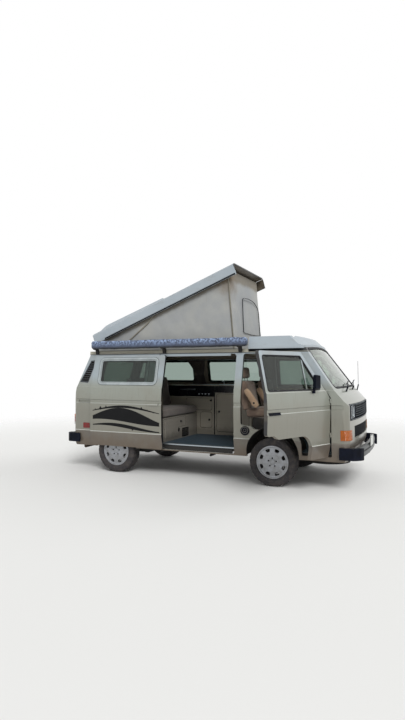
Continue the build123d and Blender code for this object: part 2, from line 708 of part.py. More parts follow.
# Tailgate with its window
with BuildPart() as tailgate:
    add(shell)
    add(gate_solid, mode=Mode.INTERSECT)
    add(gate_window, mode=Mode.SUBTRACT)
    add(block(-2300, -1700, -900, 900, DOOR_TOP_Z, 1900), mode=Mode.SUBTRACT)
    add(gate_straps)
write(tailgate.part, "tailgate")
with BuildPart() as tailgate_glass:
    add(glass_skin)
    add(outline_prism_x(GATE_WINDOW, -GLASS_GAP, -2300, -1600), mode=Mode.INTERSECT)
write(tailgate_glass.part, "tailgate_glass")

# Lifting roof lid, made closed and then raised on its two rear arms
lid_top = LID_LOW_Z + LID_SIDE_H
lid_x1 = LID_REAR_X + LID_LENGTH
lid_side = [
    (LID_REAR_X, LID_LOW_Z),
    (lid_x1, LID_LOW_Z),
    (lid_x1 + LID_FRONT_LEAN, lid_top),
    (LID_REAR_X + 44, lid_top),
    (LID_REAR_X + 8, lid_top - 40),
]
lid_front = [
    (-LID_HALF, LID_LOW_Z),
    (LID_HALF, LID_LOW_Z),
    (LID_HALF - 6, lid_top - 30),
    (LID_HALF - 40, lid_top - 2),
    (LID_HALF - 90, lid_top),
    (-LID_HALF + 90, lid_top),
    (-LID_HALF + 40, lid_top - 2),
    (-LID_HALF + 6, lid_top - 30),
]
plateau = [
    (LID_REAR_X + 145, lid_top - 1),
    (LID_REAR_X + 1420, lid_top - 1),
    (LID_REAR_X + 1372, lid_top + 36),
    (LID_REAR_X + 330, lid_top + 60),
    (LID_REAR_X + 262, lid_top + 56),
]
plateau_front = [(-640, lid_top - 2), (640, lid_top - 2), (590, lid_top + 60), (-590, lid_top + 60)]
plateau_solid = polygon_y(plateau, -LID_HALF, LID_HALF) & polygon_x(plateau_front, LID_REAR_X, lid_x1)
lid_hollow = block(
    LID_REAR_X + LID_SKIN,
    lid_x1 + 150,
    -LID_HALF + LID_SKIN,
    LID_HALF - LID_SKIN,
    LID_LOW_Z - 10,
    lid_top - LID_SKIN,
)
lid_hollow = fillet(lid_hollow.edges().filter_by(Axis.Z), 60)
pivot_plates = pair(
    ARM_LID_CLOSED[0] - 12, ARM_LID_CLOSED[0] + 70, 616, 624, ARM_LID_CLOSED[1] - 25, lid_top - 10
)
with BuildPart() as lid_plan_form:
    with BuildSketch(Plane.XY.offset(LID_LOW_Z - 5)):
        with Locations((LID_REAR_X + LID_LENGTH / 2 + 100, 0)):
            RectangleRounded(LID_LENGTH + 200, 2 * LID_HALF, 75)
    extrude(amount=300)
lid_plan = lid_plan_form.part
with BuildPart() as pop_top:
    add(polygon_y(lid_side, -LID_HALF, LID_HALF))
    add(polygon_x(lid_front, LID_REAR_X - 10, lid_x1 + LID_FRONT_LEAN + 10), mode=Mode.INTERSECT)
    add(lid_plan, mode=Mode.INTERSECT)
    add(plateau_solid)
    add(lid_hollow, mode=Mode.SUBTRACT)
    add(pivot_plates)
lid_turn = Rot(0, -LID_OPEN_DEG, 0)
closed_pivot = (ARM_LID_CLOSED[0], 0, ARM_LID_CLOSED[1])
open_pivot = (ARM_LID_OPEN[0], 0, ARM_LID_OPEN[1])
LID_OPEN = Pos(*open_pivot) * lid_turn * Pos(-closed_pivot[0], 0, -closed_pivot[2])
write(LID_OPEN * pop_top.part, "pop_top")

arm_dx = ARM_LID_OPEN[0] - ARM_BASE[0]
arm_dz = ARM_LID_OPEN[1] - ARM_BASE[1]
arm_len = math.hypot(arm_dx, arm_dz)
arm_n = (-arm_dz / arm_len * 14, arm_dx / arm_len * 14)
arm_outline = [
    (ARM_BASE[0] + arm_n[0], ARM_BASE[1] + arm_n[1]),
    (ARM_LID_OPEN[0] + arm_n[0], ARM_LID_OPEN[1] + arm_n[1]),
    (ARM_LID_OPEN[0] - arm_n[0], ARM_LID_OPEN[1] - arm_n[1]),
    (ARM_BASE[0] - arm_n[0], ARM_BASE[1] - arm_n[1]),
]
with BuildPart() as roof_arms:
    for y0, y1 in mirrored(608.3, 615.7):
        add(polygon_y(arm_outline, y0, y1))
        for x, z in (ARM_BASE, ARM_LID_OPEN):
            with Locations(Plane.XZ.offset(-y1)):
                with Locations((x, z)):
                    Cylinder(14, y1 - y0, align=(Align.CENTER, Align.CENTER, Align.MIN))
write(roof_arms.part, "roof_arms")

# Canvas tent wall between roof and lid
canvas_rear_x = -1738
lid_slope = math.tan(math.radians(LID_OPEN_DEG))
canvas_line_z = ARM_LID_OPEN[1] - 40 / math.cos(math.radians(LID_OPEN_DEG))
canvas_side = [
    (canvas_rear_x, flange_top + 0.6),
    (643, flange_top + 0.6),
    (541, canvas_line_z + (541 - ARM_LID_OPEN[0]) * lid_slope + 140),
    (canvas_rear_x, canvas_line_z + (canvas_rear_x - ARM_LID_OPEN[0]) * lid_slope + 130),
]
canvas_inner = [
    (canvas_rear_x + CANVAS_T, 1700),
    (643 - CANVAS_T + 14, 1700),
    (541 - CANVAS_T - 18, 3300),
    (canvas_rear_x + CANVAS_T, 3300),
]
with BuildPart() as canvas:
    add(polygon_y(canvas_side, -CANVAS_HALF, CANVAS_HALF))
    add(polygon_y(canvas_inner, -CANVAS_HALF + CANVAS_T, CANVAS_HALF - CANVAS_T), mode=Mode.SUBTRACT)
write(canvas.part, "canvas")

# Floor, wheelhouses, rear bulkhead and luggage deck
floor_top = 475
floor_low = 440
deck_low, deck_top = 880, 905
house_low = 400
house_room = Part()
house_forms = []
house_hollows = []
for x, z, hollow, wall, y in ((FRONT_AXLE_X, ARCH_Z, 362, 12, 478), (REAR_AXLE_X, REAR_ARCH_Z, 353, 11, 628)):
    for side in (-1, 1):
        y0, y1 = sorted((side * y, side * 900))
        hollow_y0, hollow_y1 = sorted((side * (y + wall), side * 900))
        room_y0, room_y1 = sorted((side * (y - SHAFT_GAP), side * 900))
        house_forms.append(arch(x, hollow + wall, z, y0, y1))
        house_hollows.append(arch(x, hollow, z, hollow_y0, hollow_y1))
        house_room += arch(x, hollow + wall + SHAFT_GAP, z, room_y0, room_y1)
lower_rail = block(-512, SLIDE_FRONT_X - 48, -837.6, -812, SLIDE_BOTTOM_Z + 1, floor_low + 5)

with BuildPart() as wheelhouses:
    for form in house_forms:
        add(form)
    add(liner, mode=Mode.INTERSECT)
    for form in house_hollows:
        add(form, mode=Mode.SUBTRACT)
    add(block(-2300, 2500, -1000, 1000, 0, house_low), mode=Mode.SUBTRACT)
write(wheelhouses.part, "wheelhouses")

with BuildPart() as floor_pan:
    add(block(-1129.7, 2200, -900, 900, floor_low, floor_top))
    add(liner, mode=Mode.INTERSECT)
    add(lower_rail)
    add(house_room, mode=Mode.SUBTRACT)
write(floor_pan.part, "floor_pan")

with BuildPart() as rear_deck:
    add(block(-1960, -1130, -900, 900, deck_low, deck_top))
    add(block(-1142, -1130, -900, 900, floor_low, deck_low + 5))
    add(liner, mode=Mode.INTERSECT)
    add(house_room, mode=Mode.SUBTRACT)
write(rear_deck.part, "rear_deck")

# Underframe rails and cross members
rail_z0, rail_z1 = 352, floor_low - 0.3
blade_back = [(2351.7, 300), (2450, 300), (2450, 600), (2351.7, 600)]
rear_back = [(-2095.7, 300), (-2250, 300), (-2250, 600), (-2095.7, 600)]
with BuildPart() as underframe:
    add(pair(-1130, 2150, 330, 390, rail_z0, rail_z1))
    add(pair(2150, 2338, 330, 390, rail_z0, SILL_Z - 0.6))
    add(pair(-2090, -1131, 400, 450, 380, rail_z1))
    add(pair(-1190, -1130, 330, 450, 380, rail_z1))
    add(block(-1130, -1070, -600, 600, rail_z0, rail_z1))
    add(block(-1790, -1730, -450, 450, 400, 454.7))
    add(block(300, 360, -800, 800, 392, rail_z1))
    add(block(-520, -460, -800, 800, 392, rail_z1))
    add(block(1990, 2050, -390, 390, rail_z0, rail_z1))
    add(pair(2303, 2360, 330, 390, rail_z0, 540))
    add(pair(-2120, -2043, 400, 450, 380, 540))
    add(lathe(blade_back, blade_axis), mode=Mode.SUBTRACT)
    add(lathe(rear_back, TAIL_X + TAIL_SWEEP_R), mode=Mode.SUBTRACT)
write(underframe.part, "underframe")

# Jacking sockets under the cross members and towing eyes under the rails
cross_z0 = 392
rear_rail_z0 = 380
tow_plates = rod((TOW_FRONT_X, 353, TOW_Z), (TOW_FRONT_X, 367, TOW_Z), TOW_R + 12)
tow_plates -= block(TOW_FRONT_X - 50, TOW_FRONT_X + 50, 340, 380, rail_z0 - SHAFT_GAP, 500)
tow_plates += rod((TOW_REAR_X, 418, TOW_Z), (TOW_REAR_X, 432, TOW_Z), TOW_R + 12)
tow_plates += block(TOW_REAR_X - 26, TOW_REAR_X + 22, 418, 432, TOW_Z + 16, rear_rail_z0 - SHAFT_GAP)
with BuildPart() as lifting_points:
    add(tow_plates)
    for side in (-1, 1):
        for x in JACK_X:
            block_y0, block_y1 = sorted((side * 690, side * 780))
            add(rod((x, side * 700, JACK_Z), (x, side * JACK_MOUTH_Y, JACK_Z), JACK_R + 6))
            add(block(x - 20, x + 20, block_y0, block_y1, JACK_Z, cross_z0 - SHAFT_GAP))
    for side in (-1, 1):
        for x in JACK_X:
            bottom = (x, side * (JACK_MOUTH_Y - JACK_DEPTH), JACK_Z)
            add(rod(bottom, (x, side * 900, JACK_Z), JACK_R), mode=Mode.SUBTRACT)
    add(rod((TOW_FRONT_X, 300, TOW_Z), (TOW_FRONT_X, 420, TOW_Z), TOW_R), mode=Mode.SUBTRACT)
    add(rod((TOW_REAR_X, 380, TOW_Z), (TOW_REAR_X, 470, TOW_Z), TOW_R), mode=Mode.SUBTRACT)
write(lifting_points.part, "lifting_points")

# Engine, gearbox and exhaust at the rear
with BuildPart() as engine_block:
    add(block(-1960, -1480, -330, 330, 455, 800))
    add(block(-1500, -1150, -150, 150, 300, 470))
write(engine_block.part, "engine_block")
with BuildPart() as exhaust:
    add(rod((-1880, -375, 396.7), (-1880, 375, 396.7), 58))
    add(rod((-1880, -360, 351), (-1870, -770, 346), 26))
write(exhaust.part, "exhaust")

# Front axle: cross beam, wishbones to the kingpins and steering rack
king_low, king_high = 226, 418
with BuildPart() as front_axle:
    add(block(1150, 1310, -400, 400, 280, rail_z0 - 0.3))
    for side in (-1, 1):
        kingpin = (FRONT_AXLE_X, side * KINGPIN_Y)
        low_y0, low_y1 = sorted((side * 380, side * KINGPIN_Y))
        add(block(1215, 1245, low_y0, low_y1, king_low - 22, king_low - 0.3))
        add(rod((*kingpin, king_low - 22), (*kingpin, king_low - 0.3), 12))
        leg_y0, leg_y1 = sorted((side * 380, side * 400))
        add(block(1200, 1260, leg_y0, leg_y1, king_low - 22, 300))
        top_y0, top_y1 = sorted((side * 490.3, side * KINGPIN_Y))
        add(block(1216, 1244, top_y0, top_y1, king_high + 0.3, king_high + 20))
        add(rod((*kingpin, king_high + 0.3), (*kingpin, king_high + 20), 12))
    add(rod((1400, -420, 322), (1400, 420, 322), 24))
    add(block(1300, 1420, -330, -290, 312, 346))
    add(block(1300, 1420, 290, 330, 312, 346))
write(front_axle.part, "front_axle")

hub_face = TRACK / 2 + 28 - SHAFT_GAP

# Rear axle: trailing arms, half shafts and hub carriers
with BuildPart() as rear_axle:
    for side in (-1, 1):
        add(rod((REAR_AXLE_X, side * 150.3, TYRE_R), (REAR_AXLE_X, side * 690, TYRE_R), 20))
        add(rod((REAR_AXLE_X, side * 690, TYRE_R), (REAR_AXLE_X, side * hub_face, TYRE_R), 55))
        add(rod((REAR_AXLE_X, side * 752, TYRE_R), (REAR_AXLE_X, side * 768, TYRE_R), 122))
        add(rod((REAR_AXLE_X, side * 630, TYRE_R), (REAR_AXLE_X, side * 702, TYRE_R), 66))
        arm_y0, arm_y1 = sorted((side * 540, side * 634))
        add(block(-1290, -820, arm_y0, arm_y1, 296, 350))
        pivot_y0, pivot_y1 = sorted((side * 330, side * 634))
        add(block(-860, -800, pivot_y0, pivot_y1, 290, rail_z0 - 0.3))
write(rear_axle.part, "rear_axle")

# Spare wheel tray under the nose
with BuildPart() as spare_tray:
    add(rod((1795, 0, 250), (1795, 0, rail_z0 - 2), 318))
    add(block(1990, 2050, -120, 120, 330, rail_z0 - 0.3))
write(spare_tray.part, "spare_tray")


def knuckle(side):
    """Upright with its hub and brake disc. side is -1 on the right and 1 on the left."""
    y0, y1 = sorted((side * 705, side * 748))
    steer_y0, steer_y1 = sorted((side * 690, side * 720))
    with BuildPart() as upright:
        add(block(1206, 1254, y0, y1, king_low, king_high))
        add(rod((FRONT_AXLE_X, side * 700, TYRE_R), (FRONT_AXLE_X, side * hub_face, TYRE_R), 55))
        add(rod((FRONT_AXLE_X, side * 752, TYRE_R), (FRONT_AXLE_X, side * 768, TYRE_R), 122))
        add(block(1250, 1400, steer_y0, steer_y1, 300, 322))
    return upright.part


write(knuckle(1), "knuckle_left")
write(knuckle(-1), "knuckle_right")

# Wheels: the tyre and the rim are turned about the wheel's own axis
tyre_half = [(203.3, 75.7), (222, 75.7), (226, 90), (262, 102.5), (300, 98), (317, 86), (TYRE_R, 70)]
tyre_section = tyre_half + [(r, -w) for r, w in reversed(tyre_half)]
rim_section = [
    (RIM_R, 84),
    (RIM_R, 76),
    (203, 76),
    (203, 60),
    (176, 40),
    (176, -40),
    (203, -60),
    (203, -76),
    (RIM_R, -76),
    (RIM_R, -84),
    (196, -84),
    (168, -50),
    (168, 36),
    (187, 56),
    (185, 60),
    (74, 60),
    (70, 28),
    (34, 28),
    (34, 60),
    (36, 82),
    (60, 86),
    (130, 85),
    (188, 78),
    (197, 79),
    (202, 86),
]
window_outline = [(140, -20), (184, -43), (184, 43), (140, 20)]
window_floor = 50


def wheel_ring(section, x, y, flip):
    """A (radius, width) section turned about the wheel axis at (x, y)."""
    points = [(r, flip * w) for r, w in section]
    plane = Plane(origin=(x, y, TYRE_R), x_dir=(1, 0, 0), z_dir=(0, 0, 1))
    with BuildPart() as turned:
        with BuildSketch(plane):
            Polygon(*points, align=None)
        revolve(axis=Axis((x, y, TYRE_R), (0, 1, 0)))
    return turned.part


def wheel_rim(x, side):
    """A cast wheel with eight windows near its edge and five bolt holes."""
    y = side * TRACK / 2
    face = Plane(origin=(x, y + side * window_floor, TYRE_R), x_dir=(1, 0, 0), z_dir=(0, side, 0))
    with BuildSketch() as window:
        Polygon(*window_outline, align=None)
        fillet(window.vertices(), 16)
    with BuildPart() as rim:
        add(wheel_ring(rim_section, x, y, side))
        add(rod((x, y + side * 60, TYRE_R), (x, y + side * 81, TYRE_R), 35))
        with BuildSketch(face):
            for i in range(8):
                add(window.sketch.rotate(Axis.Z, 45 * i + 22.5))
        extrude(amount=60, mode=Mode.SUBTRACT)
        for i in range(5):
            angle = math.radians(72 * i + 18)
            hole = (x + 56 * math.cos(angle), TYRE_R + 56 * math.sin(angle))
            add(rod((hole[0], y, hole[1]), (hole[0], y + side * 120, hole[1]), 11), mode=Mode.SUBTRACT)
    return rim.part


for axle, axle_x in (("front", FRONT_AXLE_X), ("rear", REAR_AXLE_X)):
    for name, side in (("left", 1), ("right", -1)):
        write(wheel_ring(tyre_section, axle_x, side * TRACK / 2, side), f"tyre_{axle}_{name}")
        write(wheel_rim(axle_x, side), f"rim_{axle}_{name}")

# Dashboard, steering column and wheel
dash_side = [(2200, 1190), (2078, 1262), (1930, 1262), (1880, 1215), (1860, 1060), (1960, 960), (2200, 960)]
with BuildPart() as dashboard:
    add(polygon_y(dash_side, -900, 900))
    add(liner, mode=Mode.INTERSECT)
    add(rod((1960, 370, 1080), (1800, 370, 1222), 24))
write(dashboard.part, "dashboard")
wheel_axis_dir = Vector(-160, 0, 142).normalized()
wheel_centre = Vector(1800, 0, 1222) + wheel_axis_dir * 30 + Vector(0, 370, 0)
wheel_plane = Plane(origin=wheel_centre, z_dir=wheel_axis_dir)
rim_plane = Plane(origin=wheel_centre, x_dir=(0, 1, 0), z_dir=wheel_axis_dir.cross(Vector(0, 1, 0)))
with BuildPart() as steering_wheel:
    with BuildSketch(rim_plane):
        with Locations((190, 0)):
            Circle(13)
    revolve(axis=Axis(tuple(wheel_centre), tuple(wheel_axis_dir)))
    with BuildSketch(wheel_plane.offset(-12)):
        Circle(55)
        Rectangle(372, 40)
    extrude(amount=14)
    with BuildSketch(wheel_plane.offset(-29.7)):
        Circle(20)
    extrude(amount=20)
write(steering_wheel.part, "steering_wheel")

# Front seats on pedestals over the wheelhouses
seat_side = [(800, 900), (1290, 930), (1340, 970), (1330, 1010), (1270, 1030), (850, 1000), (760, 1000)]
back_side = [(744, 985), (850, 1000), (760, 1370), (735, 1400), (690, 1395), (668, 1360)]
head_side = [(668, 1430), (735, 1430), (720, 1590), (650, 1590)]
seat_house = arch(FRONT_AXLE_X, 374.3, ARCH_Z, 477.7, 900) + arch(FRONT_AXLE_X, 374.3, ARCH_Z, -900, -477.7)
with BuildPart() as front_seats:
    for y0, y1 in mirrored(190, 690):
        add(polygon_y(seat_side, y0, y1))
        add(polygon_y(back_side, y0 + 20, y1 - 20))
        middle = (y0 + y1) / 2
        add(polygon_y(head_side, middle - 130, middle + 130))
        add(block(690, 712, middle - 60, middle - 44, 1380, 1450))
        add(block(690, 712, middle + 44, middle + 60, 1380, 1450))
        add(block(860, 1300, y0 + 40, y1 - 40, floor_top + 0.3, 940))
    add(seat_house, mode=Mode.SUBTRACT)
write(front_seats.part, "front_seats")

# Rear bench box and cushions
bench_box = block(-1060, -470, -780, 435, floor_top + 0.3, 830)
house_hole = arch(REAR_AXLE_X, 365, REAR_ARCH_Z, -900, -627.7)
with BuildPart() as rear_bench:
    add(bench_box)
    add(house_hole, mode=Mode.SUBTRACT)
    add(block(-900, -495, -755, 410, floor_top, 805), mode=Mode.SUBTRACT)
    add(block(-500, -400, -700, -300, 530, 760), mode=Mode.SUBTRACT)
write(rear_bench.part, "rear_bench")
cushion_side = [(-1060, 830.3), (-462, 830.3), (-448, 860), (-450, 935), (-480, 962), (-1060, 940)]
bench_back_side = [(-1059, 940.4), (-935, 945.1), (-1020, 1430), (-1050, 1450), (-1125, 1440), (-1128, 945)]
mattress = block(-1955, -1135, -780, 780, deck_top + 0.3, 985) & hull(WALL + 8)
with BuildPart() as bench_cushions:
    add(polygon_y(cushion_side, -778, 432))
    add(polygon_y(bench_back_side, -778, 432))
    add(mattress)
write(bench_cushions.part, "bench_cushions")

# Kitchen units along the left wall
with BuildPart() as galley:
    add(block(-700, -152, 435, 866, floor_top + 0.3, 1290))
    add(block(-148, 500, 435, 866, floor_top + 0.3, 1290))
    add(block(-1120, -702, 445, 866, floor_top + 0.3, 1290))
    add(liner, mode=Mode.INTERSECT)
    add(arch(REAR_AXLE_X, 365, REAR_ARCH_Z, 600, 900), mode=Mode.SUBTRACT)
    add(block(-1200, 600, 400, 434.7, 0, 2000), mode=Mode.SUBTRACT)
write(galley.part, "galley")

# Awning bag with its brackets along the right roof edge
bag_section = [(-885, 1905), (-868, 1888), (-800, 1886), (-782, 1900)]
bag_section += [(-778, 1970), (-800, 1996), (-866, 1998), (-886, 1976)]
with BuildPart() as awning_bag:
    add(polygon_x(bag_section, -1695, 866))
write(awning_bag.part, "awning_bag")
bracket_points = [(-768.3, 1800), (-768.3, 1842), (-790, 1885.6), (-872, 1887.6), (-872, 1872), (-806, 1862)]
bracket_points += [(-790, 1800)]
with BuildPart() as awning_brackets:
    for x in (-1640, -445, 750):
        add(polygon_x(bracket_points, x - 25, x + 25))
    add(outer, mode=Mode.SUBTRACT)
write(awning_brackets.part, "awning_brackets")

# Wipers and aerial
with BuildPart() as wipers:
    for y in (-420, 120):
        add(rod((2120, y, 1240), (2150, y, 1330), 11))
        add(rod((2145, y, 1322), (2090, y + 380, 1392), 5))
        add(rod((2106, y + 120, 1352), (2080, y + 560, 1400), 6))
    add(near_skin, mode=Mode.SUBTRACT)
write(wipers.part, "wipers")
with BuildPart() as aerial:
    add(rod((2100, 760, 1200), (2132, 760, 1330), 9))
    add(rod((2130, 760, 1320), (2120, 790, 1690), 2.5))
    add(near_skin, mode=Mode.SUBTRACT)
write(aerial.part, "aerial")

# Fuel cap
with BuildPart() as fuel_cap:
    add(rod((862, -925, 728), (862, -895, 728), 62))
    add(near_skin, mode=Mode.SUBTRACT)
write(fuel_cap.part, "fuel_cap")
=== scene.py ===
"""Looks of a camper van with a raised canvas roof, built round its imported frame.

Everything is in metres in the part's own frame: +X forward, +Y the van's left, +Z up.
"""
import json
import math

import bmesh
import bpy
import numpy as np
from mathutils import Matrix, Vector, noise
from mathutils.geometry import tessellate_polygon

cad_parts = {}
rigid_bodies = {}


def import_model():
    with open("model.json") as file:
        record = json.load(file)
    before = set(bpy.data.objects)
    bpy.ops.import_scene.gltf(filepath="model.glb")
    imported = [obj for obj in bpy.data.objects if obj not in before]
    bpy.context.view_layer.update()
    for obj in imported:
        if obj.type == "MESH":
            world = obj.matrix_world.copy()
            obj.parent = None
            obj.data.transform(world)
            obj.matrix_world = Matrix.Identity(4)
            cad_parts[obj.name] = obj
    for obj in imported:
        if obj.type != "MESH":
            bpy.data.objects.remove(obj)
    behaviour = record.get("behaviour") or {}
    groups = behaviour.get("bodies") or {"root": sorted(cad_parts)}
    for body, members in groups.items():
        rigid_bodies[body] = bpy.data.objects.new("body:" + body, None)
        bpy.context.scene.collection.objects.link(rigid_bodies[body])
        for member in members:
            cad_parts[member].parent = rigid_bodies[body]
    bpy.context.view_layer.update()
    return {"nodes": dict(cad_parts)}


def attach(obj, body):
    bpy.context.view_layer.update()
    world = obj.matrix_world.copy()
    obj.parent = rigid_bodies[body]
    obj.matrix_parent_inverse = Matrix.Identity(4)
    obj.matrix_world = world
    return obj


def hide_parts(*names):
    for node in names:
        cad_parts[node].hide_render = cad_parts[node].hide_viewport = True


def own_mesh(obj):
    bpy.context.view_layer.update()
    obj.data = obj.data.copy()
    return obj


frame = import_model()
NODES = frame["nodes"]

# Body surface: outer half width by height, nose and tail by height
SECTION_Z = [0.380, 0.606, 0.616, 0.626, 1.044, 1.052, 1.098, 1.104, 1.285, 1.296, 1.800]
SECTION_Y = [0.868, 0.916, 0.916, 0.906, 0.921, 0.911, 0.911, 0.920, 0.905, 0.894, 0.775]
NOSE_Z = [0.379, 0.560, 0.640, 1.095, 1.120, 1.300, 1.890, 1.910]
NOSE_X = [2.235, 2.292, 2.300, 2.292, 2.274, 2.112, 1.673, 1.613]
TAIL_Z = [0.379, 0.480, 0.640, 1.075, 1.290, 1.800, 1.910]
TAIL_X = [-2.010, -2.040, -2.040, -2.026, -1.990, -1.805, -1.750]
NOSE_AXIS, TAIL_AXIS = -3.7, 6.96
NOSE_CORNER, TAIL_CORNER = 0.122, 0.092
WAIST_Z = 1.29


def corners(a0, a1, b0, b1, r):
    """Outline rows (across, up, corner radius) of a rectangle."""
    return [(a0, b0, r), (a1, b0, r), (a1, b1, r), (a0, b1, r)]


# Openings: (across, up, corner radius)
DOOR_WINDOW = [(0.852, 1.305, 0.030), (1.842, 1.305, 0.018), (1.548, 1.720, 0.018), (0.852, 1.720, 0.030)]
MIDDLE_WINDOW = corners(-0.439, 0.586, 1.332, 1.735, 0.070)
REAR_WINDOW = corners(-1.590, -0.690, 1.332, 1.735, 0.070)
SCREEN = [(-0.792, 1.322, 0.050), (0.792, 1.322, 0.050), (0.676, 1.836, 0.050), (0, 1.872, 6.0),
          (-0.676, 1.836, 0.050)]
GATE_WINDOW = [(-0.640, 1.325, 0.060), (0.640, 1.325, 0.060), (0.590, 1.715, 0.060), (-0.590, 1.715, 0.060)]

# Where the photograph has the moved bodies
SLIDE_AT = Matrix.Translation((-1.079, -0.066, 0))
HINGE = Vector((2.008, -0.920, 0))
DOOR_OPEN = Matrix.Translation(HINGE) @ Matrix.Rotation(math.radians(66), 4, "Z") @ Matrix.Translation(-HINGE)
PIVOT_CLOSED = Vector((-1.680, 0, 1.885))
PIVOT_OPEN = Vector((-1.679, 0, 2.036))
RAISED = Matrix.Rotation(math.radians(-21.5), 4, "Y")
LID = Matrix.Translation(PIVOT_OPEN) @ RAISED @ Matrix.Translation(-PIVOT_CLOSED)

# The lid's rim line, and the tent below it
RIM_Z, RIM_X, SLOPE = 1.993, -1.679, 0.3939
CANVAS_LOW, CANVAS_HALF = 1.8453, 0.640
TENT_FRONT, TENT_REAR, TENT_LEAN, TENT_TALL, TENT_CORNER = 0.640, -1.735, 0.102, 1.275, 0.055

WHEEL_Y, WHEEL_R = 0.785, 0.322
SIDES = (("left", 1), ("right", -1))
AXLES = (("front", 1.230), ("rear", -1.230))
WHEELS = [(f"{axle}_{word}", x, side) for axle, x in AXLES for word, side in SIDES]
SEAT_Y = 0.440


def linear(r, g, b):
    """An 8-bit screen colour as Blender's linear colour."""
    def one(c):
        c /= 255
        return c / 12.92 if c <= 0.04045 else ((c + 0.055) / 1.055) ** 2.4
    return (one(r), one(g), one(b), 1.0)


class Shade:
    """One material and its node graph."""

    def __init__(self, name, color, rough=0.5, metal=0.0, **sockets):
        self.mat = bpy.data.materials.new(name)
        self.mat.use_nodes = True
        self.tree = self.mat.node_tree
        self.bsdf = self.tree.nodes["Principled BSDF"]
        self.place = self.node("ShaderNodeTexCoord").outputs["Object"]
        self.axes = None
        self.put("Base Color", linear(*color))
        self.put("Roughness", rough)
        self.put("Metallic", metal)
        for key, value in sockets.items():
            self.put(key.replace("_", " "), value)

    def put(self, key, value, node=None):
        socket = (node or self.bsdf).inputs[key]
        if isinstance(value, bpy.types.NodeSocket):
            self.tree.links.new(value, socket)
        else:
            socket.default_value = value

    def node(self, kind, inputs=None, **props):
        made = self.tree.nodes.new(kind)
        for key, value in props.items():
            setattr(made, key, value)
        for key, value in (inputs or {}).items():
            self.put(key, value, made)
        return made

    def axis(self, i):
        if self.axes is None:
            self.axes = self.node("ShaderNodeSeparateXYZ", {0: self.place})
        return self.axes.outputs[i]

    def math(self, op, a, b=0.0):
        return self.node("ShaderNodeMath", {0: a, 1: b}, operation=op).outputs[0]

    def times(self, a, b):
        return self.math("MULTIPLY", a, b)

    def plus(self, a, b):
        return self.math("ADD", a, b)

    def minus(self, a, b):
        return self.math("SUBTRACT", a, b)

    def vector(self, op, a, b=(0, 0, 0), out=0):
        return self.node("ShaderNodeVectorMath", {0: a, 1: b}, operation=op).outputs[out]

    def step(self, value, low, high):
        """Runs smoothly from 0 at low to 1 at high."""
        made = self.node("ShaderNodeMapRange", {0: value, 1: low, 2: high}, interpolation_type="SMOOTHSTEP")
        return made.outputs[0]

    def fall(self, value, low, high):
        """Runs smoothly from 1 at low to 0 at high."""
        return self.minus(1.0, self.step(value, low, high))

    def noise(self, scale, detail=3.0, rough=0.55, stretch=None, distortion=0.0):
        where = self.place
        if stretch:
            where = self.node("ShaderNodeMapping", {"Vector": where, "Scale": stretch}).outputs[0]
        made = self.node("ShaderNodeTexNoise", {"Vector": where, "Scale": scale, "Detail": detail,
                                                "Roughness": rough, "Distortion": distortion})
        return made.outputs["Fac"]

    def cells(self, scale):
        return self.node("ShaderNodeTexVoronoi", {"Vector": self.place, "Scale": scale}).outputs["Distance"]

    def waves(self, scale, direction):
        return self.node("ShaderNodeTexWave", {"Vector": self.place, "Scale": scale},
                         wave_type="BANDS", bands_direction=direction).outputs["Fac"]

    def mix(self, fac, a, b):
        made = self.node("ShaderNodeMix", data_type="RGBA")
        self.put(0, fac, made)
        for i, value in ((6, a), (7, b)):
            if isinstance(value, tuple) and len(value) == 3:
                value = linear(*value)
            self.put(i, value, made)
        return made.outputs[2]

    def over(self, under, color, mask, amount):
        """Lays a colour over another where mask is 1, at most by amount."""
        return self.mix(self.times(mask, amount), under, color)

    def bump(self, height, strength, distance):
        normal = self.bsdf.inputs["Normal"]
        inputs = {"Height": height, "Strength": strength, "Distance": distance}
        if normal.is_linked:
            inputs["Normal"] = normal.links[0].from_socket
        made = self.node("ShaderNodeBump", inputs)
        self.tree.links.new(made.outputs[0], normal)
        return self


def facing(s, outward, centre=(0, 0, 0), stretch=(0.25, 1, 0.05)):
    """1 where a wall faces out of the body, 0 where it faces in."""
    normal = s.node("ShaderNodeTexCoord").outputs["Normal"]
    if outward is None:
        spot = s.vector("SUBTRACT", s.place, centre)
        away = s.vector("MULTIPLY", spot, stretch)
    else:
        away = tuple(outward)
    dot = s.vector("DOT_PRODUCT", normal, away, "Value")
    return s.step(dot, -0.12, -0.08)


# Body paint by height: the low colour is painted shade with some dirt, the mid and up colours paint the body
# lighter upwards as painted light, and the top colour is a painted sky reflection.
PAINT_TOP_SKY_REFLECTION, PAINT_UP, PAINT_MID, PAINT_LOW_SHADE_AND_DIRT = (154, 165, 171), (141, 145, 136), (127, 126, 116), (102, 96, 89)


def grey(level):
    return (level, level, level, 1)


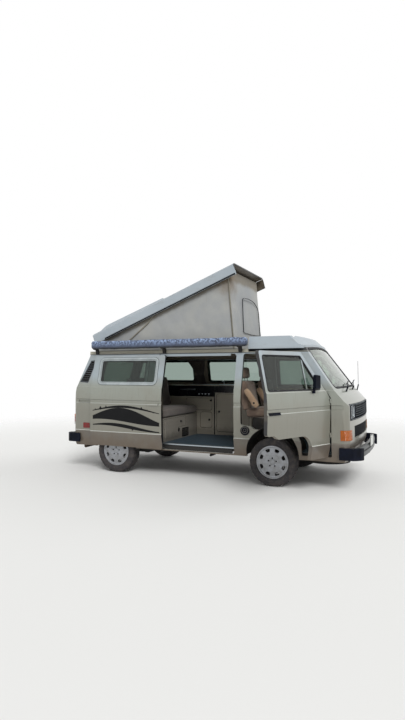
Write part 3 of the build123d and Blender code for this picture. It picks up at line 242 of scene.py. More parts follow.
def paint(name, outward=None, edges=None):
    """Dull metallic beige paint with road dirt low down, painted shade at the foot, painted light higher up
    and a painted sky reflection on top, and a plain lining on the inside.

    edges is (the wall's normal, rear, front, foot) where the cut edges of its openings are painted dark as
    shade.
    """
    s = Shade(name, PAINT_MID, rough=0.34, metal=0.2, Coat_Weight=0.45, Coat_Roughness=0.12)
    z = s.axis(2)
    # Painted shade low down, painted light higher up, painted sky reflection on top.
    col = s.mix(s.step(z, 0.612, 0.634), PAINT_LOW_SHADE_AND_DIRT, PAINT_MID)
    col = s.mix(s.step(z, 0.85, 1.30), col, PAINT_UP)
    col = s.mix(s.step(z, 1.27, 1.50), col, PAINT_TOP_SKY_REFLECTION)
    col = s.over(col, (129, 125, 113), s.step(s.noise(2.2, 4, 0.6), 0.35, 0.8), 0.45)
    streak = s.noise(9, 3, 0.6, stretch=(6, 6, 0.35))
    col = s.over(col, (92, 84, 70), s.step(streak, 0.52, 0.75), 0.14)
    dirt_line = s.plus(z, s.times(s.noise(7, 5, 0.65), -0.34))
    dirt = s.fall(dirt_line, 0.20, 0.50)
    col = s.over(col, (100, 86, 71), dirt, 0.7)
    specks = s.fall(s.cells(70), 0.05, 0.09)
    low_specks = s.times(specks, s.fall(z, 0.45, 0.95))
    col = s.over(col, (70, 60, 48), low_specks, 0.5)
    # Painted shade: the cut edges of the openings go dark, darkest around the belt.
    if edges:
        normal = s.node("ShaderNodeTexCoord").outputs["Normal"]
        way, rear, front, foot = edges
        across = s.vector("DOT_PRODUCT", normal, way, "Value")
        rim = s.fall(s.math("ABSOLUTE", across), 0.40, 0.55)
        inside = s.times(s.step(s.axis(0), rear - 0.002, rear), s.fall(s.axis(0), front, front + 0.002))
        tall = s.times(s.step(z, foot, foot + 0.002), s.fall(z, 1.783, 1.785))
        rim = s.times(s.times(rim, inside), tall)
        groove = s.times(s.step(z, 0.95, 1.00), s.fall(z, 1.15, 1.20))
        shade = s.mix(groove, (20, 20, 22), (62, 58, 50))
        col = s.mix(rim, col, shade)
        # Painted highlight on the upward-facing ridges below the waist.
        lift = s.node("ShaderNodeSeparateXYZ", {0: normal}).outputs[2]
        ridge = s.times(s.step(lift, 0.45, 0.75), s.fall(z, 1.15, 1.20))
        col = s.over(col, (196, 200, 194), ridge, 0.7)
    out = facing(s, outward, (0, 0, 1.05))
    panel = s.mix(s.noise(60, 2), (104, 97, 86), (120, 112, 99))
    s.put("Base Color", s.mix(out, panel, col))
    s.put("Metallic", s.times(out, 0.2))
    s.put("Roughness", s.mix(out, grey(0.75), s.mix(dirt, grey(0.32), grey(0.6))))
    s.bump(s.noise(1100, 1), 0.06, 0.0004)
    s.bump(s.noise(3.5, 2), 0.12, 0.004)
    return s.mat


def fibreglass(name="moulded_roof", under=None):
    """Weathered moulding, tinted bluish as a painted sky reflection, with soot and lichen specks; under names
    a point below its dark lined inside.
    """
    s = Shade(name, (176, 182, 180), rough=0.42, Coat_Weight=0.25, Coat_Roughness=0.25)
    # The bluish tone is a painted sky reflection on the pale moulding.
    col = s.mix(s.noise(1.6, 5, 0.65), (148, 159, 167), (173, 182, 188))
    soot = s.noise(5, 5, 0.7, stretch=(0.6, 3, 3))
    col = s.over(col, (128, 126, 112), s.step(soot, 0.5, 0.8), 0.35)
    specks = s.fall(s.cells(38), 0.03, 0.055)
    col = s.over(col, (44, 40, 34), specks, 0.85)
    fine = s.fall(s.cells(90), 0.05, 0.10)
    col = s.over(col, (90, 86, 74), fine, 0.4)
    if under:
        out = facing(s, None, under, (1, 1, 1))
        lining = s.mix(s.step(s.noise(7, 5, 0.7), 0.35, 0.75), (70, 62, 52), (98, 90, 76))
        col = s.mix(out, lining, col)
        # Dark band along the lid's front edge: a black seal, and painted shade on the down-turned front face.
        along = LID.to_3x3() @ Vector((1, 0, 0))
        reach = max(along.dot(v.co) for v in NODES["pop_top"].data.vertices)
        ahead = s.vector("DOT_PRODUCT", s.place, tuple(along), "Value")
        col = s.mix(s.step(ahead, reach - 0.015, reach - 0.013), col, (16, 17, 20))
    s.put("Base Color", col)
    s.put("Roughness", s.mix(s.noise(14, 3), grey(0.36), grey(0.55)))
    s.bump(s.noise(160, 2), 0.10, 0.0006)
    s.bump(s.noise(4, 2), 0.15, 0.004)
    return s.mat


def frame_flange():
    """Roof frame: cream flange above, black painted shade under the rack in a strip along the sides and over
    its front part, the body's top paint with its painted sky reflection below the gutter, lining inside.
    """
    s = Shade("roof_flange", (170, 166, 150), rough=0.45, Coat_Weight=0.2, Coat_Roughness=0.3)
    x, z = s.axis(0), s.axis(2)
    col = s.mix(s.noise(6, 4, 0.6, stretch=(0.5, 2, 4)), (150, 147, 132), (186, 182, 166))
    # Below the gutter: the body's top colour, a painted sky reflection.
    col = s.mix(s.step(z, 1.797, 1.801), PAINT_TOP_SKY_REFLECTION, col)
    # Painted shade: near black where the frame runs under the rack's front part.
    front = s.times(s.step(x, 0.862, 0.866), s.step(z, 1.803, 1.806))
    col = s.mix(front, col, (17, 18, 22))
    # Painted shade: a dark strip just under the rack.
    strip = s.times(s.step(z, 1.788, 1.790), s.fall(z, 1.797, 1.799))
    col = s.mix(strip, col, (24, 24, 26))
    out = facing(s, None, (0, 0, 1.5), (0.3, 1, 1))
    s.put("Base Color", s.mix(out, (120, 110, 94), col))
    s.bump(s.noise(240, 2), 0.08, 0.0006)
    return s.mat


def glass(name="window_glass", tint=(148, 163, 155), front=None):
    """Lightly tinted glass with a thin film of dust; front is the tint forward of the cab."""
    s = Shade(name, tint, rough=0.015, Transmission_Weight=1.0, IOR=1.46)
    if front:
        s.put("Base Color", s.mix(s.step(s.axis(0), 1.4, 1.41), tint, front))
    film = s.noise(2.5, 4, 0.6)
    s.put("Roughness", s.times(s.step(film, 0.35, 0.8), 0.05))
    return s.mat


def grained(name, low, high, rough, grain, depth=0.0005, **sockets):
    """Moulded plastic or rubber with a fine grain and patchy fading."""
    s = Shade(name, low, rough=rough, **sockets)
    col = s.mix(s.step(s.noise(7, 4, 0.65), 0.3, 0.8), low, high)
    s.put("Base Color", col)
    s.put("Roughness", s.mix(s.noise(18, 3), grey(rough * 0.8), grey(min(1, rough * 1.25))))
    s.bump(s.noise(grain, 2, 0.6), 0.35, depth)
    return s.mat


def metal(name, color, rough, amount, stains=(60, 56, 50)):
    s = Shade(name, color, rough=rough, metal=1.0)
    spots = s.step(s.noise(24, 5, 0.7), 0.52, 0.78)
    s.put("Base Color", s.mix(s.times(spots, amount), color, stains))
    s.put("Roughness", s.mix(s.noise(40, 4, 0.7), grey(rough), grey(min(1, rough * 1.7 + 0.05))))
    return s.mat


def cloth(name, low, high, weave, stain=None, sheen=0.2):
    """Woven cloth: crossed threads, worn patches and, if named, stains."""
    s = Shade(name, low, rough=0.9, Sheen_Weight=sheen, Sheen_Roughness=0.5)
    col = s.mix(s.step(s.noise(5, 5, 0.65), 0.3, 0.75), low, high)
    thread = s.plus(s.times(s.waves(weave, "X"), s.waves(weave, "Z")), s.waves(weave, "Y"))
    col = s.over(col, tuple(int(c * 0.72) for c in low), thread, 0.12)
    if stain:
        col = s.over(col, stain, s.step(s.noise(2.6, 5, 0.7), 0.55, 0.8), 0.5)
    s.put("Base Color", col)
    s.bump(thread, 0.25, 0.0005)
    s.bump(s.noise(40, 4, 0.6), 0.2, 0.001)
    return s.mat


def canvas_cloth():
    """Grey-beige tent canvas: painted shade with grime along the lid line, painted shade under the lid's
    front corner, faint rain streaks below it.
    """
    s = Shade("tent_canvas", (158, 158, 154), rough=0.88, Sheen_Weight=0.15, Sheen_Roughness=0.5)
    x, z = s.axis(0), s.axis(2)
    col = s.mix(s.step(s.noise(1.7, 5, 0.6), 0.3, 0.75), (150, 153, 155), (168, 168, 163))
    # Painted shade with grime along the lid line.
    rim = s.plus(RIM_Z, s.times(s.plus(x, -RIM_X), SLOPE))
    below = s.minus(rim, z)
    ragged = s.minus(below, s.times(s.noise(5, 5, 0.65), 0.10))
    top = s.fall(ragged, -0.06, 0.02)
    col = s.over(col, (108, 98, 80), top, 0.8)
    streak = s.step(s.noise(5, 4, 0.7, stretch=(2.6, 2.6, 0.22)), 0.60, 0.80)
    high = s.fall(below, 0.02, 0.40)
    col = s.over(col, (126, 114, 92), s.times(streak, high), 0.5)
    foot = s.fall(z, 1.86, 1.96)
    col = s.over(col, (118, 112, 98), foot, 0.22)
    # A patch of painted shade under the lid's front corner.
    spot = s.vector("SUBTRACT", s.place, (0.56, -0.62, 2.86))
    far = s.vector("LENGTH", spot, out="Value")
    near = s.fall(s.minus(far, s.times(s.noise(6, 4, 0.6), 0.30)), -0.10, 0.22)
    col = s.over(col, (112, 94, 66), near, 0.62)
    s.put("Base Color", col)
    thread = s.plus(s.waves(520, "X"), s.waves(520, "Z"))
    thread = s.plus(thread, s.waves(520, "Y"))
    s.bump(thread, 0.2, 0.0005)
    s.bump(s.noise(9, 3, 0.5), 0.3, 0.006)
    return s.mat


def creased_vinyl():
    """Blue-grey creased bag vinyl, dusty and with a painted sky highlight on top, and painted shade along the
    bottom.
    """
    s = Shade("bag_vinyl", (70, 84, 112), rough=0.32, Coat_Weight=0.35, Coat_Roughness=0.25)
    col = s.mix(s.step(s.noise(4, 5, 0.7), 0.3, 0.8), (46, 55, 78), (72, 86, 114))
    # Dust and a painted sky highlight in patches over the top.
    dust = s.times(s.step(s.axis(2), 1.900, 1.985), s.step(s.noise(34, 5, 0.7), 0.42, 0.60))
    col = s.over(col, (146, 168, 204), dust, 0.9)
    # Painted shade along the bottom.
    foot = s.fall(s.axis(2), 1.888, 1.916)
    col = s.over(col, (20, 24, 34), foot, 0.85)
    s.put("Base Color", col)
    s.put("Roughness", s.mix(s.noise(9, 4, 0.7), grey(0.24), grey(0.5)))
    s.bump(s.noise(30, 5, 0.65, stretch=(1, 1.6, 1.6), distortion=0.8), 0.7, 0.005)
    s.bump(s.noise(140, 3, 0.6), 0.3, 0.0008)
    return s.mat


def rubber_tyre():
    s = Shade("tyre_rubber", (74, 68, 66), rough=0.85)
    dust = s.step(s.noise(14, 5, 0.7), 0.35, 0.75)
    col = s.mix(s.times(dust, 0.75), (40, 39, 42), (76, 69, 65))
    s.put("Base Color", col)
    s.bump(s.noise(220, 3), 0.3, 0.0006)
    return s.mat


def lacquered_alloy():
    """Silver wheel, painted darker inwards and in its windows as shade in its recesses."""
    s = Shade("wheel_alloy", (150, 152, 156), rough=0.36, metal=0.65, Coat_Weight=0.3, Coat_Roughness=0.2)
    col = s.mix(s.step(s.noise(18, 5, 0.7), 0.35, 0.75), (150, 153, 158), (128, 128, 128))
    # Painted shade: darker deeper in, towards the hub and in the windows.
    depth = s.minus(s.math("ABSOLUTE", s.axis(1)), 0.855)
    recess_shade = s.fall(depth, -0.022, -0.004)
    col = s.over(col, (44, 42, 40), recess_shade, 0.85)
    s.put("Base Color", col)
    s.bump(s.noise(500, 2), 0.08, 0.0003)
    return s.mat


def ribbed_lens(name, color, direction, scale, rough=0.12, glow=0.35, zones=()):
    """Moulded lens with fine ribs; zones are (height, colour below or None, colour above)."""
    s = Shade(name, color, rough=rough, Transmission_Weight=glow, IOR=1.49)
    col = s.mix(s.noise(30, 3), color, tuple(int(c * 0.8) for c in color))
    for height, below, above in zones:
        col = s.mix(s.step(s.axis(2), height, height + 0.001), below or col, above)
    s.put("Base Color", col)
    s.bump(s.waves(scale, direction), 0.7, 0.0015)
    return s.mat


def mesh_plastic():
    """Black grille band with a square mesh low down."""
    s = Shade("grille_plastic", (12, 15, 22), rough=0.7, Specular_IOR_Level=0.05)
    y, z = s.axis(1), s.axis(2)
    col = s.mix(s.noise(8, 4, 0.6), (9, 12, 18), (20, 25, 34))
    lines = s.math("PINGPONG", s.plus(y, 10.0), 0.0065)
    rows = s.math("PINGPONG", z, 0.0065)
    holes = s.times(s.step(lines, 0.0016, 0.0022), s.step(rows, 0.0016, 0.0022))
    low = s.fall(z, 0.835, 0.84)
    holes = s.times(holes, low)
    col = s.mix(holes, col, (6, 6, 7))
    s.put("Base Color", col)
    s.bump(s.minus(1.0, holes), 0.8, 0.003)
    s.bump(s.noise(500, 2), 0.2, 0.0004)
    return s.mat


def floor_lining():
    """Ribbed dark floor mat on top, sealed black underneath."""
    s = Shade("floor_mat", (52, 60, 70), rough=0.7)
    col = s.mix(s.noise(9, 5, 0.65), (32, 47, 57), (52, 68, 79))
    grit = s.fall(s.cells(60), 0.06, 0.12)
    col = s.over(col, (110, 100, 84), grit, 0.3)
    under = s.mix(s.noise(6, 5, 0.7), (20, 20, 20), (36, 33, 30))
    s.put("Base Color", s.mix(s.step(s.axis(2), 0.470, 0.474), under, col))
    s.bump(s.waves(120, "Y"), 0.25, 0.0008)
    return s.mat


def board(name, low, high):
    """Laminate-faced board: faint print grain, scuffs along the foot."""
    s = Shade(name, low, rough=0.55)
    grain = s.noise(14, 5, 0.6, stretch=(0.4, 0.4, 6))
    col = s.mix(grain, low, high)
    scuff = s.fall(s.minus(s.axis(2), s.times(s.noise(12, 4), 0.16)), 0.44, 0.56)
    col = s.over(col, (70, 66, 60), scuff, 0.5)
    s.put("Base Color", col)
    s.bump(s.noise(300, 2), 0.12, 0.0003)
    return s.mat


def underseal(name="underseal", low=(30, 29, 28), high=(58, 50, 42)):
    s = Shade(name, low, rough=0.85)
    mud = s.step(s.noise(6, 6, 0.7), 0.42, 0.75)
    s.put("Base Color", s.mix(mud, low, high))
    s.bump(s.noise(60, 4, 0.7), 0.5, 0.002)
    return s.mat


PAINT = paint("body_paint")
PAINT_SIDE = paint("body_paint_sides", edges=((0, 1, 0), -1.80, 1.99, 0.400))
PAINT_DOOR = paint("body_paint_open_door", outward=(0.914, -0.407, 0.15),
                   edges=((0.914, -0.407, 0), 1.2, 3.0, 0.790))
PAINT_SLIDE = paint("body_paint_side_door", outward=(0, -1, 0.15), edges=((0, 1, 0), -1.80, 1.99, 0.400))
ROOF = fibreglass()
LID_SKIN = fibreglass("moulded_lid", under=(-0.4, 0, 2.40))
FLANGE = frame_flange()
GLASS = glass()
SCREEN_GLASS = glass("screen_glass", (148, 163, 155), front=(184, 202, 184))
RUBBER = grained("seal_rubber", (9, 10, 13), (24, 25, 29), rough=0.62, grain=300, Specular_IOR_Level=0.3)
BLACK = grained("grained_black_plastic", (6, 9, 18), (16, 21, 36), rough=0.6, grain=700,
                Specular_IOR_Level=0.12)
# The louvre's black plastic is made grey: painted highlight on its slats.
LOUVRE = grained("louvre_plastic", (30, 33, 38), (66, 71, 78), rough=0.5, grain=600)
GRILLE = mesh_plastic()
TRIM = metal("bright_trim", (176, 184, 190), 0.30, amount=0.15)
WINDOW_TRIM = grained("window_trim", (150, 158, 160), (176, 184, 186), rough=0.4, grain=300, depth=0.0002)
BAR_FACE = grained("grille_bar_paint", (58, 68, 76), (80, 90, 98), rough=0.5, grain=300, depth=0.0002)
CHROME = metal("bumper_chrome", (46, 52, 52), 0.22, stains=(22, 25, 23), amount=0.6)
STEEL = metal("bare_steel", (120, 118, 114), 0.35, stains=(92, 62, 40), amount=0.4)
DARK_METAL = underseal("chassis_black", (26, 26, 26), (52, 46, 40))
UNDER = underseal()
IRON = underseal("cast_iron", (58, 56, 54), (84, 74, 64))
RUST = metal("exhaust_steel", (96, 84, 74), 0.55, stains=(88, 52, 30), amount=0.8)
VINYL = creased_vinyl()
CANVAS = canvas_cloth()
SEAT = cloth("seat_cloth", (92, 76, 66), (124, 106, 92), weave=420, stain=(70, 56, 46))
SEAT_SIDE = cloth("seat_side_cloth", (148, 122, 98), (172, 146, 120), weave=600)
# Toned part of the way darker for the shade inside the van: partly painted shade.
BENCH = cloth("bench_cloth", (86, 79, 74), (108, 99, 92), weave=380, stain=(62, 57, 53))
TAPE = cloth("tent_tape", (130, 125, 112), (146, 142, 128), weave=500, sheen=0.1)
CURTAIN = cloth("curtain_cloth", (48, 44, 42), (74, 66, 60), weave=300, sheen=0.3)
# Both boards are toned part of the way darker for the shade inside the van: partly painted shade.
BOARD = board("beige_board", (140, 134, 122), (158, 151, 137))
BENCH_BOARD = board("bench_board", (124, 119, 111), (140, 135, 126))
GLOSS_BLACK = grained("black_panel", (6, 8, 11), (14, 17, 22), rough=0.25, grain=200, depth=0.0001,
                      Specular_IOR_Level=0.35)
TYRE = rubber_tyre()
ALLOY = lacquered_alloy()
AMBER = ribbed_lens("amber_lens", (218, 112, 10), direction="Z", scale=70)
RED = ribbed_lens("red_lens", (150, 20, 18), direction="Z", scale=60)
TAIL_ZONES = ((0.738, (205, 205, 200), (150, 20, 18)), (0.812, None, (214, 104, 14)))
TAIL_LENS = ribbed_lens("tail_lens", (150, 20, 18), direction="Z", scale=60, zones=TAIL_ZONES)
CLEAR = ribbed_lens("clear_lens", (226, 232, 236), rough=0.05, glow=0.92, direction="Y", scale=42)
FLOOR = floor_lining()
DASH = grained("dashboard_vinyl", (34, 32, 32), (52, 48, 46), rough=0.6, grain=420, depth=0.0008)
PLATE = grained("blank_plate", (206, 208, 204), (188, 190, 186), rough=0.35, grain=60, depth=0.0002)
MIRROR = metal("mirror_glass", (200, 206, 210), 0.03, amount=0.05)
REFLECTOR = metal("lamp_reflector", (225, 228, 230), 0.08, amount=0.05)
ART = grained("black_film", (3, 4, 6), (9, 10, 12), rough=0.45, grain=900, depth=0.0001,
              Specular_IOR_Level=0.2)


def dress(material, *names):
    for name in names:
        o = NODES[name]
        o.data.materials.clear()
        o.data.materials.append(material)


dress(PAINT, "nose_panel", "rear_valance", "tailgate")
dress(PAINT_SIDE, "side_left", "side_right", "front_door_left")
dress(PAINT_DOOR, "front_door_right")
dress(PAINT_SLIDE, "sliding_door")
dress(FLANGE, "roof_frame")
dress(LID_SKIN, "pop_top")
dress(ROOF, "luggage_rack")
dress(GLASS, "door_glass_left", "door_glass_right", "sliding_door_glass", "tailgate_glass")
dress(SCREEN_GLASS, "body_glass")
dress(GRILLE, "front_grille")
dress(LOUVRE, "air_intakes")
dress(BLACK, "bumper_caps", "mirror_left", "mirror_right", "wipers", "aerial", "fuel_cap")
dress(DASH, "dashboard", "steering_wheel")
dress(UNDER, "wheelhouses", "spare_tray")
dress(FLOOR, "floor_pan", "rear_deck")
dress(CHROME, "front_bumper", "rear_bumper")
dress(DARK_METAL, "underframe", "lifting_points", "front_axle", "awning_brackets", "roof_arms", "rear_axle")
dress(STEEL, "knuckle_left", "knuckle_right")
dress(RUST, "exhaust")
dress(IRON, "engine_block")
dress(AMBER, "turn_signals")
dress(TAIL_LENS, "tail_lamps")
dress(CLEAR, "headlamps")
dress(BENCH_BOARD, "rear_bench")
dress(BOARD, "galley")
dress(ALLOY, "rim_front_left", "rim_front_right", "rim_rear_left", "rim_rear_right")
for node in NODES.values():
    node.data.set_sharp_from_angle(angle=math.radians(28))


# Geometry helpers
def on_side(side, x, z, h):
    """A point of the side wall, h outside its skin. side is -1 on the right."""
    lean = 0.2298 if z > WAIST_Z else 0.0
    return Vector((x, side * (float(np.interp(z, SECTION_Z, SECTION_Y)) + h * (1 - lean * 0.1)),
                   z + h * lean))


def right(x, z, h):
    return on_side(-1, x, z, h)


def left(x, z, h):
    return on_side(1, x, z, h)


def end_point(y, z, h, axis, table_z, table_x, corner, lean):
    """A point of the swept nose or tail, h outside its skin, with the rounded corner into the side."""
    f = float(np.interp(z, table_z, table_x)) - axis
    way = 1 if f > 0 else -1
    along = math.sqrt(f * f - y * y)
    over = max(0.0, abs(y) - (float(np.interp(z, SECTION_Z, SECTION_Y)) - corner))
    turn = math.asin(min(1.0, over / corner))
    back = corner * (1 - math.cos(turn))
    n = Vector((way * along / abs(f) * math.cos(turn), y / abs(f) + math.copysign(math.sin(turn), y),
                lean)).normalized()
    return Vector((axis + way * (along - back), y, z)) + n * h


def nose(y, z, h):
    return end_point(y, z, h, NOSE_AXIS, NOSE_Z, NOSE_X, NOSE_CORNER, 0.744 if 1.30 < z < 1.90 else 0.1)


def tail(y, z, h):
    return end_point(y, z, h, TAIL_AXIS, TAIL_Z, TAIL_X, TAIL_CORNER, 0.36 if z > WAIST_Z else 0.0)


def rounded(table, step=0.07, arc=5):
    """Samples a closed outline of (a, b, corner radius) rows."""
    pts = []
    n = len(table)
    for i, (a, b, r) in enumerate(table):
        here = Vector((a, b))
        back = (Vector(table[i - 1][:2]) - here).normalized()
        ahead = (Vector(table[(i + 1) % n][:2]) - here).normalized()
        half_angle = math.acos(max(-1, min(1, back.dot(ahead)))) / 2
        if r < 1e-5:
            pts.append(here)
            continue
        reach = r / math.tan(half_angle)
        start, end = here + back * reach, here + ahead * reach
        centre = here + (back + ahead).normalized() * (r / math.sin(half_angle))
        for k in range(arc + 1):
            t = start.lerp(end, k / arc) - centre
            pts.append(centre + t.normalized() * r)
    full = []
    for i, p in enumerate(pts):
        q = pts[(i + 1) % len(pts)]
        parts = max(1, int((q - p).length / step))
        full += [p.lerp(q, k / parts) for k in range(parts)]
    area = sum(p.x * q.y - q.x * p.y for p, q in zip(full, full[1:] + full[:1]))
    return full if area > 0 else full[::-1]


def outwards(pts, closed=True):
    """The in-plane outward direction at each point of a sampled outline."""
    n = len(pts)
    made = []
    for i in range(n):
        a = pts[i - 1] if closed or i else pts[i]
        b = pts[(i + 1) % n] if closed or i < n - 1 else pts[i]
        t = (b - a).normalized()
        made.append(Vector((t.y, -t.x)))
    return made


class Soup:
    """Several closed forms gathered into one mesh."""

    def __init__(self):
        self.verts, self.faces = [], []

    def add(self, verts, faces, at=None):
        base = len(self.verts)
        self.verts += [at @ Vector(v) if at else Vector(v) for v in verts]
        self.faces += [[base + i for i in f] for f in faces]
        return self

    def loft(self, rings, loop=False, at=None):
        """Joins equal rings of points; loop joins the last ring to the first."""
        n = len(rings[0])
        verts = [v for ring in rings for v in ring]
        faces = []
        for r in range(len(rings) - (0 if loop else 1)):
            s = (r + 1) % len(rings)
            faces += [(r * n + i, r * n + (i + 1) % n, s * n + (i + 1) % n, s * n + i) for i in range(n)]
        if not loop:
            faces += [tuple(range(n))[::-1], tuple((len(rings) - 1) * n + i for i in range(n))]
        return self.add(verts, faces, at)

    def box(self, low, high):
        points = [(x, y, z) for x in (low[0], high[0]) for y in (low[1], high[1]) for z in (low[2], high[2])]
        faces = [(0, 1, 3, 2), (4, 6, 7, 5), (0, 4, 5, 1), (2, 3, 7, 6), (0, 2, 6, 4), (1, 5, 7, 3)]
        return self.add(points, faces)

    def tube(self, path, radius, sides, loop=False, at=None):
        """A round bar along a path of points; radius may be one number or one for each point."""
        path = [Vector(p) for p in path]
        radii = radius if isinstance(radius, (list, tuple)) else [radius] * len(path)
        rings = []
        up = None
        for i, p in enumerate(path):
            a = path[i - 1] if loop or i else p
            b = path[(i + 1) % len(path)] if loop or i < len(path) - 1 else p
            t = (b - a).normalized()
            if up is None:
                up = Vector((0, 0, 1)) if abs(t.z) < 0.9 else Vector((1, 0, 0))
            across = t.cross(up).normalized()
            up = across.cross(t).normalized()
            rings.append([p + (across * math.cos(q) + up * math.sin(q)) * radii[i]
                          for q in (2 * math.pi * k / sides for k in range(sides))])
        return self.loft(rings, loop=loop, at=at)

    def turned(self, profile, origin, axis=(0, 1, 0), segments=32, closed=False, at=None, wobble=None):
        """Turns a (radius, along) profile about an axis."""
        origin, axis = Vector(origin), Vector(axis).normalized()
        side = axis.orthogonal().normalized()
        other = axis.cross(side)
        verts, faces = [], []
        for k in range(segments):
            q = 2 * math.pi * k / segments
            spoke = side * math.cos(q) + other * math.sin(q)
            verts += [origin + spoke * (r + (wobble(k, i) if wobble else 0)) + axis * w
                      for i, (r, w) in enumerate(profile)]
        n = len(profile)
        for r in range(segments):
            s = (r + 1) % segments
            for i in range(n if closed else n - 1):
                faces.append((r * n + i, r * n + (i + 1) % n, s * n + (i + 1) % n, s * n + i))
        if not closed:
            for end in (0, n - 1):
                if profile[end][0] > 1e-6:
                    faces.append(tuple(r * n + end for r in range(segments)))
        return self.add(verts, faces, at)

    def band(self, outline, profile, place, at=None):
        """Sweeps (outwards, height) round a sampled outline on the surface that place gives."""
        out = outwards(outline)
        rings = [[place(p.x + n.x * u, p.y + n.y * u, h) for u, h in profile] for p, n in zip(outline, out)]
        return self.loft(rings, loop=True, at=at)

    def plate(self, outline, place, low, high, at=None):
        """A thin plate with that outline, between two heights over the surface."""
        n = len(outline)
        flat = [Vector((p[0], p[1], 0)) for p in outline]
        caps = [tuple(f) for f in tessellate_polygon([flat])]
        verts = [place(p[0], p[1], high) for p in outline] + [place(p[0], p[1], low) for p in outline]
        faces = caps + [tuple(i + n for i in f[::-1]) for f in caps]
        faces += [(i, i + n, (i + 1) % n + n, (i + 1) % n) for i in range(n)]
        return self.add(verts, faces, at)

    def make(self, name, material, slot, body="body", bevel=0.0, sharp=35, segments=2):
        mesh = bpy.data.meshes.new(name)
        mesh.from_pydata([tuple(v) for v in self.verts], [], [tuple(f) for f in self.faces])
        work = bmesh.new()
        work.from_mesh(mesh)
        bmesh.ops.remove_doubles(work, verts=work.verts, dist=1e-6)
        bmesh.ops.recalc_face_normals(work, faces=work.faces)
        work.to_mesh(mesh)
        work.free()
        return settle(bpy.data.objects.new(name, mesh), material, body, bevel, sharp, segments)


def settle(obj, material, body="body", bevel=0.0, sharp=35, segments=2):
    """Links a new piece, dresses it, and lets it ride on its body."""
    mesh = obj.data
    if obj.name not in bpy.context.scene.collection.objects:
        bpy.context.scene.collection.objects.link(obj)
    mesh.materials.append(material)
    mesh.shade_smooth()
    mesh.set_sharp_from_angle(angle=math.radians(sharp))
    if bevel:
        made = obj.modifiers.new("Bevel", "BEVEL")
        made.width = bevel
        made.segments = segments
        made.limit_method = "ANGLE"
        made.angle_limit = math.radians(35)
    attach(obj, body)
    return obj


def smooth_line(points, steps=6):
    """Catmull-Rom samples through a few points."""
    points = [Vector(p) for p in points]
    ends = [points[0] * 2 - points[1]] + points + [points[-1] * 2 - points[-2]]
    made = []
    for i in range(1, len(ends) - 2):
        a, b, c, d = ends[i - 1:i + 3]
        for k in range(steps):
            t = k / steps
            square, cube = a * 2 - b * 5 + c * 4 - d, b * 3 - a - c * 3 + d
            made.append((b * 2 + (c - a) * t + square * t * t + cube * t ** 3) / 2)
    return made + [points[-1]]


# Camera
CAMERA_AT, YAW, PITCH, LENS = (3.2158, -7.5713, 1.5390), 24.135, 1.20, 25.93
yaw, pitch = math.radians(YAW), math.radians(PITCH)
look = Vector((-math.sin(yaw) * math.cos(pitch), math.cos(yaw) * math.cos(pitch), math.sin(pitch)))
across = Vector((math.cos(yaw), math.sin(yaw), 0))
upward = across.cross(look)
camera = bpy.data.objects.new("camera", bpy.data.cameras.new("camera"))
bpy.context.scene.collection.objects.link(camera)
rows = [(across[i], upward[i], -look[i], CAMERA_AT[i]) for i in range(3)]
camera.matrix_world = Matrix(rows + [(0, 0, 0, 1)])
camera.data.sensor_width = 36
camera.data.lens = LENS
camera.data.clip_end = 200
bpy.context.scene.camera = camera


# Canvas tent wall: one closed sheet round the raised roof
def tent(p, v, out=0.0):
    """Point of the tent wall: p runs round it from the rear right corner, v up it."""
    r = TENT_CORNER
    half, rear = CANVAS_HALF - 0.003, TENT_REAR
    front = TENT_FRONT - TENT_LEAN * v
    length, width = front - rear, 2 * half
    runs = [length, width, length, width]
    total = sum(runs)
    s = (p % 1.0) * total
    edge = 0
    while s > runs[edge] and edge < 3:
        s -= runs[edge]
        edge += 1
    ends = [Vector((rear, -half)), Vector((front, -half)), Vector((front, half)), Vector((rear, half))]
    a, b = ends[edge], ends[(edge + 1) % 4]
    t = (b - a).normalized()
    n = Vector((t.y, -t.x))
    here = a + t * s
    for corner, before in ((a, s), (b, runs[edge] - s)):
        if before < r:
            inward = Vector((r if corner.x == rear else -r, r if corner.y < 0 else -r))
            centre = corner + inward
            here = centre + (here - centre).normalized() * r
            n = (here - centre).normalized()
    top = RIM_Z + (here.x - RIM_X) * SLOPE + 0.125
    return Vector((here.x + n.x * out, here.y + n.y * out, CANVAS_LOW + (top - CANVAS_LOW) * v))


def tent_wrinkle(q, v, height):
    """How far the cloth stands off its flat line: slack between its fixings, folds near corners."""
    belly = -0.012 * math.sin(math.pi * min(1, v)) * min(1, height / 0.6)
    folds = noise.noise(Vector((q.x * 2.3, q.y * 2.3, q.z * 1.3))) * 0.014
    fine = noise.noise(Vector((q.x * 9 + q.z * 5, q.y * 9, q.z * 3.5))) * 0.005
    pull = 0.008 * math.sin((q.x * 1.0 + q.z * 1.3) * 14) * max(0, 1 - v * 2.2) * (0.4 + abs(q.y))
    return belly + (folds + fine + pull) * math.sin(math.pi * min(1, v * 0.96 + 0.02))


def shrink_with_tent(obj):
    """Gives a piece its own copy of its mesh."""
    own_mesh(obj)


def tent_skin():
    around, up = 260, 44
    verts = []
    for j in range(up + 1):
        for i in range(around):
            q = tent(i / around, j / up)
            verts.append(tent(i / around, j / up, tent_wrinkle(q, j / up, q.z - CANVAS_LOW)))
    faces = [(j * around + i, j * around + (i + 1) % around, (j + 1) * around + (i + 1) % around,
              (j + 1) * around + i)
             for j in range(up) for i in range(around)]
    obj = Soup().add(verts, faces).make("tent_wall", CANVAS, "canvas_cloth", sharp=80)
    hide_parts("canvas")
    shrink_with_tent(obj)


tent_skin()


# Awning bag: a creased vinyl tube along the right roof edge
BAG_REAR, BAG_FRONT, BAG_Y, BAG_Z = -1.695, 0.866, -0.834, 1.941
BAG_HALF_Y, BAG_HALF_Z, BAG_ROUND = 0.054, 0.062, 0.05


